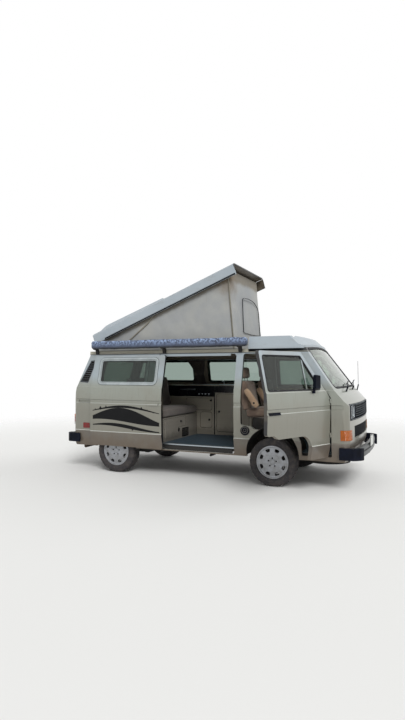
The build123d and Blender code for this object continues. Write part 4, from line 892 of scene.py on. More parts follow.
def awning_tube():
    length_n, ring_n = 230, 40
    rings = []
    for i in range(length_n + 1):
        x = BAG_REAR + (BAG_FRONT - BAG_REAR) * i / length_n
        end = max(0.0, 1 - min(x - BAG_REAR, BAG_FRONT - x) / BAG_ROUND)
        shrink = math.sqrt(max(0.0, 1 - end ** 2)) * 0.30 + 0.70
        sag = 0.5 + 0.5 * math.cos((x + 0.45) * 2 * math.pi / 1.2)
        ring = []
        for k in range(ring_n):
            q = 2 * math.pi * k / ring_n
            c, s = math.cos(q), math.sin(q)
            y = BAG_Y + BAG_HALF_Y * shrink * math.copysign(abs(c) ** 0.5, c)
            z = BAG_Z + BAG_HALF_Z * shrink * math.copysign(abs(s) ** 0.6, s) - 0.003 * (1 - sag)
            crease = noise.noise(Vector((x * 11, q * 1.6, 3.0)))
            fine = noise.noise(Vector((x * 34, q * 3.2, 9.0)))
            sharp_fold = -abs(noise.noise(Vector((x * 17 + q * 1.5, q * 1.1, 6.0)))) * 0.010
            lift = crease * 0.004 + fine * 0.0025 + sharp_fold * 0.6 + 0.002
            out = Vector((0, c, s))
            ring.append(Vector((x, y, z)) + out * lift)
        rings.append(ring)
    return Soup().loft(rings).make("awning_bag_skin", VINYL, "vinyl", sharp=70)


bag = awning_tube()
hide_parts("awning_bag")


# Tyres with ribbed sidewalls and a grooved road tread
def tyre(x, side):
    profile = [(0.2035, 0.0755), (0.214, 0.079), (0.223, 0.078), (0.232, 0.090), (0.238, 0.0935),
               (0.241, 0.093), (0.256, 0.1005), (0.259, 0.1022), (0.266, 0.1022), (0.269, 0.1008),
               (0.285, 0.1002), (0.297, 0.0982), (0.304, 0.0945), (0.311, 0.0915), (0.3165, 0.085),
               (0.3205, 0.072), (0.3213, 0.060), (0.3140, 0.0585), (0.3140, 0.0505), (0.3216, 0.049),
               (0.3218, 0.0245), (0.3140, 0.023), (0.3140, 0.0145), (0.322, 0.013)]
    profile += [(r, -w) for r, w in reversed(profile)]
    lugs = {12, 13, 14, 15, 16, 31, 32, 33, 34, 35}
    middle = {19, 20, 23, 24, 27, 28}

    def wobble(k, i):
        if i in lugs and k % 4 == 0:
            return -0.0045
        if i in middle and k % 4 == 2:
            return -0.003
        return 0.0

    return Soup().turned([(r, side * w) for r, w in profile], (x, side * WHEEL_Y, WHEEL_R), segments=144,
                         closed=True, wobble=wobble)


for wheel, x, side in WHEELS:
    o = tyre(x, side).make(f"road_tyre_{wheel}", TYRE, "tyre_rubber", f"wheel_{wheel}", sharp=28)
    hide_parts(f"tyre_{wheel}")


# Padded pieces
def rounded_block(size, radius, cuts, crown):
    """A closed box of quads with round edges and crowned faces, centred on the origin."""
    hx, hy, hz = (s / 2 for s in size)
    work = bmesh.new()
    bmesh.ops.create_cube(work, size=2.0)
    bmesh.ops.subdivide_edges(work, edges=work.edges[:], cuts=cuts, use_grid_fill=True)
    for v in work.verts:
        p = Vector((v.co.x * hx, v.co.y * hy, v.co.z * hz))
        q = Vector((max(-hx + radius, min(hx - radius, p.x)), max(-hy + radius, min(hy - radius, p.y)),
                    max(-hz + radius, min(hz - radius, p.z))))
        d = p - q
        spot = q + d.normalized() * radius if d.length > 1e-9 else p
        a, b, c = v.co
        bulge = Vector((crown[0] * a * (1 - b * b) * (1 - c * c), crown[1] * b * (1 - a * a) * (1 - c * c),
                        crown[2] * c * (1 - a * a) * (1 - b * b)))
        v.co = spot + bulge
    return work


def pad(name, size, at, material, radius=0.03, crown=(0.004, 0.004, 0.012), voxel=0.012, cap=0.012,
        cuts=10, swell=True):
    """A stuffed pad: a rounded block, puffed up by a short cloth run."""
    work = rounded_block(size, radius, cuts, crown)
    mesh = bpy.data.meshes.new(name)
    work.to_mesh(mesh)
    work.free()
    obj = bpy.data.objects.new(name, mesh)
    bpy.context.scene.collection.objects.link(obj)
    if swell:
        puff(obj, voxel, cap)
    sub = obj.modifiers.new("Subdivision", "SUBSURF")
    sub.levels = sub.render_levels = 1
    for v in obj.data.vertices:
        v.co = at @ v.co
    settle(obj, material, sharp=70)
    return obj


def puff(obj, voxel, cap):
    """Swells a closed mesh by air pressure and keeps each point within cap of its start."""
    view = bpy.context.view_layer
    for o in view.objects.selected:
        o.select_set(False)
    obj.select_set(True)
    view.objects.active = obj
    obj.data.remesh_voxel_size = voxel
    bpy.ops.object.voxel_remesh()
    start = np.empty(len(obj.data.vertices) * 3)
    obj.data.vertices.foreach_get("co", start)
    sim = obj.modifiers.new("Cloth", "CLOTH")
    for key, value in (("quality", 4), ("mass", 0.25), ("tension_stiffness", 12),
                       ("compression_stiffness", 12), ("bending_stiffness", 0.4), ("use_pressure", True),
                       ("uniform_pressure_force", 4)):
        setattr(sim.settings, key, value)
    sim.settings.effector_weights.gravity = 0
    sim.collision_settings.use_collision = False
    sim.point_cache.frame_start = 1
    sim.point_cache.frame_end = 20
    scene = bpy.context.scene
    for f in range(1, 21):
        scene.frame_set(f)
    swollen = obj.evaluated_get(bpy.context.evaluated_depsgraph_get()).data.vertices
    moved = np.empty(len(swollen) * 3)
    swollen.foreach_get("co", moved)
    obj.modifiers.remove(sim)
    scene.frame_set(1)
    step = (moved - start).reshape(-1, 3)
    size = np.maximum(np.linalg.norm(step, axis=1), 1e-9)
    step *= np.minimum(1.0, cap / size)[:, None]
    obj.data.vertices.foreach_set("co", (start.reshape(-1, 3) + step).ravel())
    obj.data.update()


def lean(x, y, z, degrees):
    return Matrix.Translation((x, y, z)) @ Matrix.Rotation(math.radians(degrees), 4, "Y")


for word, side in SIDES:
    y = side * SEAT_Y
    cushion = pad(f"seat_cushion_{word}", (0.545, 0.495, 0.110), lean(1.055, y, 0.960, -3.5), SEAT)
    if word == "left":
        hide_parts("front_seats")
    pad(f"seat_back_{word}", (0.105, 0.455, 0.430), lean(0.752, y, 1.188, -10.5), SEAT,
        crown=(0.012, 0.004, 0.004))
    pad(f"head_rest_{word}", (0.075, 0.258, 0.155), lean(0.693, y, 1.510, -6), SEAT,
        crown=(0.008, 0.002, 0.002), voxel=0.008)

bench_seat = pad("bench_seat", (0.605, 1.206, 0.115), lean(-0.757, -0.173, 0.892, -1.5), BENCH, cap=0.014)
pad("bench_back", (0.105, 1.206, 0.500), lean(-1.040, -0.173, 1.195, -10), BENCH, crown=(0.014, 0.004, 0.004),
    cap=0.014)
pad("rear_mattress", (0.800, 1.50, 0.075), lean(-1.545, 0, 0.945, 0), BENCH, cap=0.006, radius=0.026,
    crown=(0, 0, 0.004))
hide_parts("bench_cushions")

# Window rubbers and frames
SEAL_EDGE = [(0.009, 0.0002), (0.008, 0.0030), (0.0045, 0.0035), (0.0045, 0.0002)]
LIGHT_FRAME = [(0.005, 0.0002), (0.004, 0.0030), (-0.003, 0.0055), (-0.021, 0.0045), (-0.026, 0.0010),
               (-0.026, -0.0088), (-0.0005, -0.0088), (-0.0005, 0.0002)]
GROOVE = [(-0.0262, -0.0088), (-0.0262, -0.0040), (-0.0298, -0.0040), (-0.0298, -0.0088)]
INNER_FRAME = [(-0.030, -0.0088), (-0.030, -0.0020), (-0.041, -0.0020), (-0.043, -0.0060), (-0.043, -0.0088)]
DARK_SEAL = [(0.006, 0.0002), (0.004, 0.0040), (-0.002, 0.0040), (-0.012, -0.0030), (-0.014, -0.0088),
             (-0.0005, -0.0088), (-0.0005, 0.0002)]
WIDE_SEAL = [(0.015, 0.0002), (0.012, 0.0050), (0.000, 0.0065), (-0.012, 0.0020), (-0.015, -0.0088),
             (-0.0005, -0.0088), (-0.0005, 0.0002)]
seal, trim = Soup(), Soup()
for table, place, at in ((REAR_WINDOW, right, None), (REAR_WINDOW, left, None), (MIDDLE_WINDOW, left, None),
                         (MIDDLE_WINDOW, right, SLIDE_AT)):
    line = rounded(table)
    seal.band(line, SEAL_EDGE, place, at)
    seal.band(line, GROOVE, place, at)
    trim.band(line, LIGHT_FRAME, place, at)
    trim.band(line, INNER_FRAME, place, at)
seal.band(rounded(SCREEN), WIDE_SEAL, nose)
seal.make("window_rubbers", RUBBER, "black_plastic", sharp=50)
trim.make("window_frames", WINDOW_TRIM, "bright_metal", sharp=50)
for name, table, profile, place, body, at in (
        ("tailgate_window_rubber", GATE_WINDOW, WIDE_SEAL, tail, "tailgate", None),
        ("door_rubber_right", DOOR_WINDOW, DARK_SEAL, right, "front_door_right", DOOR_OPEN),
        ("door_rubber_left", DOOR_WINDOW, DARK_SEAL, left, "front_door_left", None)):
    Soup().band(rounded(table), profile, place, at).make(name, RUBBER, "black_plastic", body, sharp=50)


def feel(names, origin, direction):
    """The first point of the named nodes met from origin along direction, or None."""
    best = None
    for name in names:
        found, spot, _, _ = NODES[name].ray_cast(Vector(origin), Vector(direction))
        if found and (best is None or (spot - Vector(origin)).length < (best - Vector(origin)).length):
            best = spot
    return best


def rounded_rectangle(a0, a1, b0, b1, r):
    return rounded(corners(a0, a1, b0, b1, r), step=0.05, arc=4)


def bead(wide, narrow, low, high):
    """Profile of a low ridge for Soup.band."""
    return [(wide, low), (narrow, high), (-narrow, high), (-wide, low)]


# Nose: headlamp bowls and bezels, grille bar faces
LAMP_Z, LAMP_ROUND = 1.011, 0.074
# shrink, depth, grow
BOWL = [(0, 0, 0), (0.12, 0.022, 0), (0.34, 0.040, 0), (0.62, 0.052, 0), (0.86, 0.058, 0), (0.86, 0.061, 0),
        (0.62, 0.055, 0.001), (0.34, 0.043, 0.002), (0.12, 0.025, 0.002), (0, 0.002, 0.001)]
BULB = [(0.0, 0.0), (0.012, 0.0), (0.012, 0.022), (0.010, 0.034), (0.005, 0.040), (0.0, 0.041)]
BEZEL = [(0.007, 0.0003), (0.006, 0.004), (0.002, 0.005), (-0.003, 0.0015), (-0.003, -0.003), (0.001, -0.003),
         (0.001, 0.0003)]
BAR = ((0.0010, -0.0062), (0.0022, -0.0035), (0.0068, -0.0035), (0.0080, -0.0062))  # up, outwards
bowls, bulbs, bezels, bars = Soup(), Soup(), Soup(), Soup()
for side in (-1, 1):
    y0, y1 = sorted((side * 0.592, side * 0.796))
    middle = (y0 + y1) / 2
    edge = rounded_rectangle(y0, y1, 0.930, 1.092, 0.020)
    rings = []
    for shrink, depth, grow in BOWL:
        ring = []
        for p in edge:
            d = Vector((p.x - middle, p.y - LAMP_Z))
            way = d.normalized()
            q = d.lerp(way * LAMP_ROUND, min(1, shrink * 1.6)) * (1 - shrink) + way * grow
            ring.append(nose(middle + q.x, LAMP_Z + q.y, -0.012 - depth))
        rings.append(ring)
    bowls.loft(rings, loop=True)
    bulbs.turned(BULB, nose(middle, LAMP_Z, -0.070), (1, 0, 0), 16)
    bezels.band(rounded_rectangle(y0 - 0.002, y1 + 0.002, 0.928, 1.094, 0.021), BEZEL, nose)
for k in range(6):
    z = 0.943 + 0.029 * k
    bars.loft([[nose(y, z + up, out) for up, out in BAR] for y in np.linspace(-0.572, 0.572, 25)])
bowls.make("headlamp_bowls", REFLECTOR, "bright_metal", sharp=40)
bulbs.make("headlamp_bulbs", CLEAR, "clear_lens", sharp=40)
bezels.make("headlamp_bezels", BLACK, "bright_metal", sharp=40)
bars.make("grille_bar_faces", BAR_FACE, "bright_metal", sharp=40)
PINSTRIPE = bead(0.0015, 0.001, 0.0002, 0.0016)
Soup().band(rounded_rectangle(-0.826, 0.826, 0.914, 1.107, 0.030), PINSTRIPE, nose).make(
    "grille_pinstripe", WINDOW_TRIM, "bright_metal", sharp=60)

# Bumpers: rubber strips and blank plates
strips = Soup()
for node, out in (("front_bumper", 1), ("rear_bumper", -1)):
    heights = [(NODES[node].matrix_world @ Vector(c)).z for c in NODES[node].bound_box]
    z, half = (min(heights) + max(heights)) / 2 + 0.014, 0.011
    rings = []
    for y in np.linspace(-0.775, 0.775, 41):
        spot = feel([node], (out * 3.2, y, z), (-out, 0, 0))
        if spot is not None:
            rings.append([Vector((spot.x + out * a, y, z + half * b))
                          for a, b in ((-0.004, -1), (0.005, -0.6), (0.005, 0.6), (-0.004, 1))])
    strips.loft(rings)
strips.make("bumper_strips", RUBBER, "black_plastic", sharp=50)
SCREW_HEAD = [(0.0, -0.002), (0.006, -0.002), (0.006, 0.0035), (0.004, 0.0045), (0.0, 0.0045)]


def blank_plate(name, y0, y1, z0, z1, x, way):
    """A pressed number plate without characters, with a raised rim and two screws."""
    def flat(a, b, h):
        return Vector((x + way * h, a, b))

    outline = rounded_rectangle(y0, y1, z0, z1, 0.012)
    s = Soup().plate(outline, flat, 0.0, 0.0014)
    s.band(outline, [(-0.003, 0.0012), (-0.004, 0.0026), (-0.006, 0.0026), (-0.007, 0.0012)], flat)
    s.make(name, PLATE, "body_paint", sharp=40)
    screws = Soup()
    for y in (y0 + 0.045, y1 - 0.045):
        screws.turned(SCREW_HEAD, (x, y, z1 - 0.016), (way, 0, 0), 12)
    screws.make(name + "_screws", STEEL, "black_metal")


blade = feel(["front_bumper"], (3.2, -0.05, 0.540), (-1, 0, 0))
blank_plate("front_plate", -0.245, 0.060, 0.520, 0.655, blade.x + 0.005, 1)
holder = Soup()
for y in (-0.235, 0.020):
    holder.box((blade.x - 0.004, y, 0.530), (blade.x + 0.0045, y + 0.030, 0.640))
holder.make("front_plate_holder", BLACK, "black_plastic", bevel=0.002)
valance_x = tail(0, 0.72, 0.004).x
blank_plate("rear_plate", -0.155, 0.155, 0.640, 0.790, valance_x - 0.004, -1)
Soup().box((valance_x - 0.020, -0.060, 0.802), (valance_x + 0.006, 0.060, 0.822)).make(
    "rear_plate_lamp", BLACK, "black_plastic", bevel=0.004)

# Side markers, fuel cap rings, tailgate grip
markers = Soup()
for place in (right, left):
    markers.plate(rounded_rectangle(-1.810, -1.690, 0.653, 0.733, 0.012), place, 0.0002, 0.007)
markers.make("side_markers", RED, "red_lens", bevel=0.002)
CAP_X, CAP_Z = 0.862, 0.735
cap_rings = Soup()
cap_y = feel(["fuel_cap"], (CAP_X, -1.5, CAP_Z), (0, 1, 0)).y
for ring, count in (([(0.047, -0.001), (0.047, 0.003), (0.043, 0.004), (0.041, -0.001)], 40),
                    ([(0.022, -0.001), (0.021, 0.003), (0.018, 0.003), (0.017, -0.001)], 32)):
    cap_rings.turned(ring, (CAP_X, cap_y, CAP_Z), (0, -1, 0), count, closed=True)
cap_rings.make("fuel_cap_rings", STEEL, "bright_metal", sharp=35)
grip_x = tail(0, 0.995, 0).x
Soup().box((grip_x - 0.020, -0.085, 0.978), (grip_x + 0.004, 0.085, 1.012)).make(
    "tailgate_grip", BLACK, "black_plastic", "tailgate", bevel=0.007, segments=3)


# Sliding door film: flowing bands and small diamonds
FILM_LOW, FILM_HIGH, FILM_FOOT, FILM_TOP = 0.0002, 0.0008, 0.640, 1.034


def swell(x, height, width, phase, thick):
    """Foot and top of a band at x."""
    t = (x + 0.53) / 1.2
    middle = height + width * math.sin(2.0 * math.pi * (0.62 * t + phase))
    half = thick * (0.25 + 0.75 * math.sin(math.pi * min(1, max(0, t))) ** 1.2)
    return max(FILM_FOOT, middle - half), min(FILM_TOP, max(FILM_FOOT + 0.005, middle + half))


film = Soup()
xs = np.linspace(-0.505, 0.655, 60)
for row in ((0.815, 0.075, 0.02, 0.100), (0.690, 0.045, 0.10, 0.026), (0.945, 0.060, -0.04, 0.018)):
    foot, top = ([Vector((x, swell(x, *row)[end])) for x in xs] for end in (0, 1))
    film.plate(foot + top[::-1], right, FILM_LOW, FILM_HIGH, SLIDE_AT)
for x, z, r in ((-0.36, 0.975, 0.030), (-0.26, 1.000, 0.017), (-0.455, 0.955, 0.014), (0.36, 0.985, 0.026),
                (0.46, 0.960, 0.015), (0.56, 0.930, 0.011), (0.20, 0.668, 0.018), (0.33, 0.672, 0.011)):
    diamond = [(x - r * 0.7, z), (x, z - r), (x + r * 0.7, z), (x, z + r)]
    film.plate(diamond, right, FILM_LOW, FILM_HIGH, SLIDE_AT)
film.make("side_door_film", ART, "black_plastic", sharp=60)


# Galley fronts, worktop and controls
GALLEY_Y, WORKTOP_Z, BENCH_X, DASH_X = 0.435, 1.3011, -0.470, 1.860
KNOB = [(0.0, 0.0), (0.019, 0.0), (0.019, 0.003), (0.013, 0.005), (0.011, 0.012), (0.015, 0.017),
        (0.013, 0.021), (0.0, 0.022)]
SWITCH = [(0.0, 0.0), (0.013, 0.0), (0.012, 0.014), (0.0, 0.015)]
TAP = [(-0.14, 0.84, 1.301), (-0.14, 0.84, 1.345), (-0.14, 0.80, 1.368), (-0.14, 0.75, 1.352)]
HATCH_KNOB = [(0.0, 0.0), (0.017, 0.0), (0.012, 0.005), (0.010, 0.012), (0.014, 0.017), (0.012, 0.021),
              (0.0, 0.022)]
VENT_RIM = [(0.000, 0.0001), (-0.001, 0.006), (-0.008, 0.006), (-0.009, 0.0001)]
VENT_SLAT = ((0, 0.0002), (-0.004, 0.005), (-0.001, 0.0055), (0.004, 0.001))  # up, outwards


def galley_front(a, b, h):
    return Vector((a, GALLEY_Y - h, b))


def worktop(a, b, h):
    return Vector((a, b, WORKTOP_Z + h))


def bench_front(a, b, h):
    return Vector((BENCH_X + h, a, b))


def dash_face(a, b, h):
    return Vector((DASH_X - h, a, b))


black, pale, bright = Soup(), Soup(), Soup()
black.box((-0.866, 0.4295, 1.106), (-0.159, 0.4348, 1.288))
black.box((-1.118, 0.4346, 1.106), (-0.706, 0.4448, 1.288))
black.box((-0.140, 0.4295, 1.176), (0.497, 0.4348, 1.288))
black.box((-0.158, 0.4300, 0.480), (-0.142, 0.4348, 1.284))
for a0, a1, b0, b1 in ((-0.412, -0.197, 0.584, 0.850), (-0.680, -0.197, 0.880, 1.082),
                       (-0.113, 0.456, 0.530, 1.157)):
    black.band(rounded_rectangle(a0, a1, b0, b1, 0.035), bead(0.003, 0.002, 0.0001, 0.0028), galley_front)
    inner = rounded_rectangle(a0 + 0.004, a1 - 0.004, b0 + 0.004, b1 - 0.004, 0.031)
    pale.plate(inner, galley_front, 0.0001, 0.0014)
for a, b in ((-0.215, 1.044), (-0.068, 0.861), (-0.245, 0.720), (0.170, 1.225)):
    black.turned(KNOB, (a, GALLEY_Y - 0.0005, b), (0, -1, 0), 24)
for a in (-0.430, -0.370, -0.310, -0.250):
    bright.turned(SWITCH, (a, 0.4292, 1.150), (0, -1, 0), 20)
bright.box((-0.790, 0.4215, 1.219), (-0.498, 0.4285, 1.229))
for a in (-0.786, -0.512):
    bright.box((a, 0.4270, 1.216), (a + 0.010, 0.4300, 1.232))
pale.box((-0.698, 0.4310, 1.2903), (0.498, 0.8640, 1.3010))
bright.plate(rounded_rectangle(-0.620, -0.180, 0.480, 0.820, 0.030), worktop, 0.0, 0.006)
bright.plate(rounded_rectangle(-0.100, 0.300, 0.480, 0.820, 0.030), worktop, 0.0, 0.008)
bright.tube(smooth_line(TAP), 0.007, 10)
black.make("galley_panels", GLOSS_BLACK, "black_plastic", bevel=0.0012, sharp=40)
pale.make("galley_doors", BOARD, "beige_board", bevel=0.0008, sharp=40)
bright.make("galley_fittings", TRIM, "bright_metal", bevel=0.0015, sharp=40)

vent = Soup()
vent.band(rounded_rectangle(-0.139, 0.086, 0.492, 0.629, 0.006), VENT_RIM, bench_front)
for k in range(8):
    z = 0.506 + k * 0.0155
    vent.loft([[bench_front(y, z + up, out) for up, out in VENT_SLAT] for y in (-0.131, 0.078)])
vent.turned([(0.0, 0.0), (0.032, 0.0), (0.032, 0.006), (0.026, 0.008), (0.022, 0.004), (0.0, 0.003)],
            (BENCH_X, -0.265, 0.618), (1, 0, 0), 28)
vent.turned(HATCH_KNOB, (BENCH_X, -0.194, 0.743), (1, 0, 0), 24)
hatch_gap = bead(0.0015, 0.001, 0.0001, 0.0012)
vent.band(rounded_rectangle(-0.752, -0.010, 0.660, 0.815, 0.012), hatch_gap, bench_front)
vent.make("bench_vent", GLOSS_BLACK, "black_plastic", sharp=40)

# Threshold plate of the side door
sill_y = feel(["floor_pan"], (0.10, -1.2, 0.470), (0, 1, 0)).y
SILL = [(-0.0035, 0.4640), (-0.0035, 0.4790), (0.0550, 0.4790), (0.0580, 0.4752), (-0.0005, 0.4752),
        (-0.0005, 0.4640)]
Soup().loft([[Vector((x, sill_y + inward, z)) for inward, z in SILL] for x in (-0.552, 0.688)]).make(
    "threshold_plate", TRIM, "bright_metal", bevel=0.0008, sharp=30)


# Curtains drawn back to the pillars
RAIL_Z, RAIL_H, CURTAIN_H, CURTAIN_THICK = 1.748, -0.072, -0.078, 0.0016


def curtain(name, place, rows, folds):
    """A gathered curtain; rows are (x0, x1, z) from the foot up, folds its number of pleats."""
    n, steps = folds * 10, 5
    grid = []
    for r in range((len(rows) - 1) * steps + 1):
        k = min(r // steps, len(rows) - 2)
        t = (r - k * steps) / steps
        t = t * t * (3 - 2 * t)
        x0, x1, z = (a + (b - a) * t for a, b in zip(rows[k], rows[k + 1]))
        depth = 0.016 - 0.010 * max(0, 1 - abs(x1 - x0) / 0.14)
        grid.append([(x0 + (x1 - x0) * i / n, z,
                      depth * math.sin(2 * math.pi * folds * i / n + 0.6 * math.sin(z * 9)) +
                      0.004 * noise.noise(Vector((i * 0.11, z * 8, x0)))) for i in range(n + 1)])
    verts, faces = [], []
    for layer in (0, 1):
        verts += [place(x, z, CURTAIN_H + d - layer * CURTAIN_THICK) for row in grid for x, z, d in row]
    w, h = n + 1, len(grid)
    skip = w * h
    for j in range(h - 1):
        for i in range(n):
            q = (j * w + i, j * w + i + 1, (j + 1) * w + i + 1, (j + 1) * w + i)
            faces += [q, tuple(v + skip for v in q[::-1])]
    border = [j * w for j in range(h)] + [(h - 1) * w + i for i in range(1, w)]
    border += [j * w + n for j in range(h - 2, -1, -1)] + [i for i in range(n - 1, 0, -1)]
    for a, b in zip(border, border[1:] + border[:1]):
        faces.append((a, b, b + skip, a + skip))
    obj = Soup().add(verts, faces).make(name, CURTAIN, "canvas_cloth", sharp=70)


rails = Soup()
for place in (left, right):
    far = 0.620 if place is left else -0.640
    rails.tube([place(x, RAIL_Z, RAIL_H) for x in np.linspace(-1.640, far, 12)], 0.005, 8)
rails.make("curtain_rails", TRIM, "bright_metal")
PILLAR_ROWS = [(-0.735, -0.462, 1.315), (-0.700, -0.480, 1.42), (-0.640, -0.500, 1.50),
               (-0.720, -0.470, 1.62), (-0.800, -0.452, RAIL_Z)]
curtain("curtain_pillar_left", left, PILLAR_ROWS, 9)
REAR_ROWS = [(-1.615, -1.490, 1.315), (-1.605, -1.530, 1.48), (-1.615, -1.480, RAIL_Z)]
curtain("curtain_rear_left", left, REAR_ROWS, 5)
curtain("curtain_front_left", left, [(0.500, 0.612, 1.315), (0.545, 0.612, 1.48), (0.480, 0.612, RAIL_Z)], 5)
curtain("curtain_rear_right", right, REAR_ROWS, 5)


# Tent fittings: corner seams, zipped arch in the front wall, side strap
def tent_front(y, z, h):
    """A point before the tent's front wall."""
    return Vector((TENT_FRONT - (z - CANVAS_LOW) * TENT_LEAN / TENT_TALL + 0.010 + h, y, z))


def tent_side(side):
    return lambda x, z, h: Vector((x, side * (CANVAS_HALF + 0.009 + h), z))


def flat_strip(points, place, width, thick):
    """A flat tape along a few points on a wall."""
    line = smooth_line([(a, b, 0) for a, b in points], 8)
    pts = [Vector((p.x, p.y)) for p in line]
    out = outwards(pts, False)
    rings = []
    for p, n in zip(pts, out):
        a, b = p + n * width / 2, p - n * width / 2
        rings.append([place(c.x, c.y, h) for c, h in ((a, -0.010), (a, thick), (b, thick), (b, -0.010))])
    return rings


ZIP_ARCH = [(-0.283, 2.112), (-0.262, 2.33), (-0.235, 2.545), (-0.212, 2.612), (-0.160, 2.640),
            (0.000, 2.650), (0.162, 2.646), (0.330, 2.620), (0.470, 2.552), (0.512, 2.481), (0.514, 2.30),
            (0.510, 2.110)]
ZIP_FOOT = [ZIP_ARCH[0], (0.11, 2.098), ZIP_ARCH[-1]]
STRAP = [(-0.690, 2.415), (-0.806, 2.278), (-0.965, 2.150), (-1.132, 2.024)]
SEAM = ((0.030, 0.0085), (0.033, 0.0085), (0.033, -0.010), (0.030, -0.010))  # back, outwards
zips, tapes = Soup(), Soup()
zips.loft(flat_strip(ZIP_ARCH, tent_front, 0.0055, 0.0015))
zips.loft(flat_strip(ZIP_FOOT, tent_front, 0.0025, 0.0015))
for side in (-1, 1):
    place = tent_side(side)
    tapes.loft(flat_strip(STRAP, place, 0.016, 0.003))
    seam_top = RIM_Z + (0.520 - RIM_X) * SLOPE
    for k in range(2):
        rings = []
        for t in np.linspace(0, 1, 30):
            x, z = TENT_FRONT - TENT_LEAN * t * 0.86, CANVAS_LOW + 0.01 + (seam_top - CANVAS_LOW) * t
            rings.append([Vector((x - back - 0.012 * k, side * (CANVAS_HALF + out), z))
                          for back, out in SEAM])
        tapes.loft(rings)
shrink_with_tent(zips.make("tent_zip", RUBBER, "black_plastic", sharp=60))
shrink_with_tent(tapes.make("tent_tapes", TAPE, "canvas_cloth", sharp=60))
beading = Soup()
around = [tent(i / 160, 0, 0.006) for i in range(160)]
beading.tube([Vector((p.x, p.y, CANVAS_LOW + 0.006)) for p in around], 0.006, 6, loop=True)
beading.make("tent_foot_bead", RUBBER, "black_plastic", sharp=60)

# Black seal along the foot of the lid, drawn thick so that it also stands in for the shade under the lid's
# edge
lid_edges = Soup()
for y in (-0.701, 0.701):
    lid_edges.tube([LID @ Vector((x, y, 1.857)) for x in (0.806, -0.40, -1.560)], 0.0105, 10)
lid_edges.make("lid_seal", RUBBER, "black_plastic", "pop_top", sharp=60)

# Seats: boxes with their foot towards the van's middle, swivel plates, runners, armrests
SEAT_BASE_Z = 0.880
BOX_FOOT = ((0.479, 0.0), (0.500, -0.006), (0.713, -0.010))  # height, outwards
BOX_TOP = ((0.712, -0.010), (0.868, -0.014), (SEAT_BASE_Z, -0.022))


def seat_base(a, b, h):
    return Vector((a, b, SEAT_BASE_Z + h))


boxes, runners = Soup(), Soup()
for side in (-1, 1):
    y = side * SEAT_Y
    for far, levels in ((0.468, BOX_FOOT), (0.655, BOX_TOP)):
        line = rounded_rectangle(0.862, 1.298, *sorted((side * 0.225, side * far)), 0.030)
        out = outwards(line)
        boxes.loft([[Vector((*(p + n * grow), z)) for p, n in zip(line, out)] for z, grow in levels])
    runners.plate(rounded_rectangle(0.880, 1.270, y - 0.190, y + 0.190, 0.020), seat_base, 0.001, 0.012)
    for dy in (-0.150, 0.150):
        runners.box((0.850, y + dy - 0.014, 0.892), (1.290, y + dy + 0.014, 0.906))
    runners.tube([(1.300, y - 0.05, 0.890), (1.335, y - 0.05, 0.890), (1.340, y + 0.05, 0.890),
                  (1.300, y + 0.05, 0.890)], 0.006, 8)
    for dy in (-0.055, 0.055):
        runners.tube([(0.722, y + dy, 1.380), (0.700, y + dy, 1.470)], 0.006, 8)
boxes.make("seat_boxes", UNDER, "black_metal", bevel=0.003)
runners.make("seat_runners", STEEL, "black_metal", bevel=0.002)
hubs, bolts = Soup(), Soup()
for word, side in SIDES:
    for where, dy in (("outer", 0.280), ("inner", -0.268)):
        y = side * (SEAT_Y + dy)
        pad(f"armrest_{word}_{where}", (0.290, 0.052, 0.082), lean(0.890, y, 1.160, 54), SEAT_SIDE,
            radius=0.024, crown=(0.004, 0.002, 0.004), cuts=7, swell=False)
        out = side if where == "outer" else -side
        hubs.turned([(0.0, 0.0), (0.040, 0.0), (0.040, 0.006), (0.034, 0.010), (0.0, 0.010)],
                    (0.936, y + out * 0.024, 1.095), (0, out, 0), 28)
        bolts.turned([(0.0, 0.0), (0.014, 0.0), (0.014, 0.003), (0.010, 0.004), (0.0, 0.004)],
                     (0.936, y + out * 0.0335, 1.095), (0, out, 0), 20)
hubs.make("armrest_hubs", SEAT_SIDE, "seat_cloth", sharp=40)
bolts.make("armrest_bolts", GLOSS_BLACK, "black_plastic", sharp=40)

# Dashboard: instrument pod, dials, vents, radio and shelf fronts, column and stalks
STEER_Y = 0.370
WHEEL_HUB, STALK_ROOT = (1.800, STEER_Y, 1.222), (1.850, STEER_Y, 1.178)
POD_SHAPE = [(1.905, 1.255), (1.895, 1.300), (1.925, 1.338), (1.985, 1.335), (2.010, 1.255)]
DIAL = [(0.0, 0.0), (0.044, 0.0), (0.044, 0.004), (0.040, 0.005), (0.038, 0.002), (0.0, 0.002)]
OUTLET = [(0.0, 0.0001), (-0.001, 0.006), (-0.007, 0.006), (-0.008, 0.0001)]
HUB_PAD = [(0.0, 0.030), (0.046, 0.026), (0.062, 0.014), (0.064, -0.008), (0.040, -0.014), (0.0, -0.014)]
pod, dials, outlets = Soup(), Soup(), Soup()
pod.loft([[Vector((x, y, z)) for x, z in POD_SHAPE] for y in (0.190, 0.550)])
for y in (0.290, 0.450):
    dials.turned(DIAL, (1.8985, y, 1.296), (-0.98, 0, 0.2), 32)
for y in (-0.700, -0.120, 0.120, 0.700):
    outlets.band(rounded_rectangle(y - 0.060, y + 0.060, 1.160, 1.214, 0.008), OUTLET, dash_face)
    for k in range(4):
        z = 1.170 + 0.0115 * k
        outlets.box((DASH_X - 0.0040, y - 0.053, z), (DASH_X - 0.0002, y + 0.053, z + 0.004))
shelf_edge = bead(0.002, 0.001, 0.0001, 0.002)
outlets.band(rounded_rectangle(-0.660, -0.260, 0.985, 1.130, 0.015), shelf_edge, dash_face)
outlets.box((DASH_X - 0.0100, -0.500, 1.085), (DASH_X - 0.0002, -0.420, 1.105))
outlets.box((DASH_X - 0.0060, -0.090, 1.050), (DASH_X - 0.0002, 0.090, 1.105))
pod.tube([WHEEL_HUB, (1.905, STEER_Y, 1.128)], 0.030, 18)
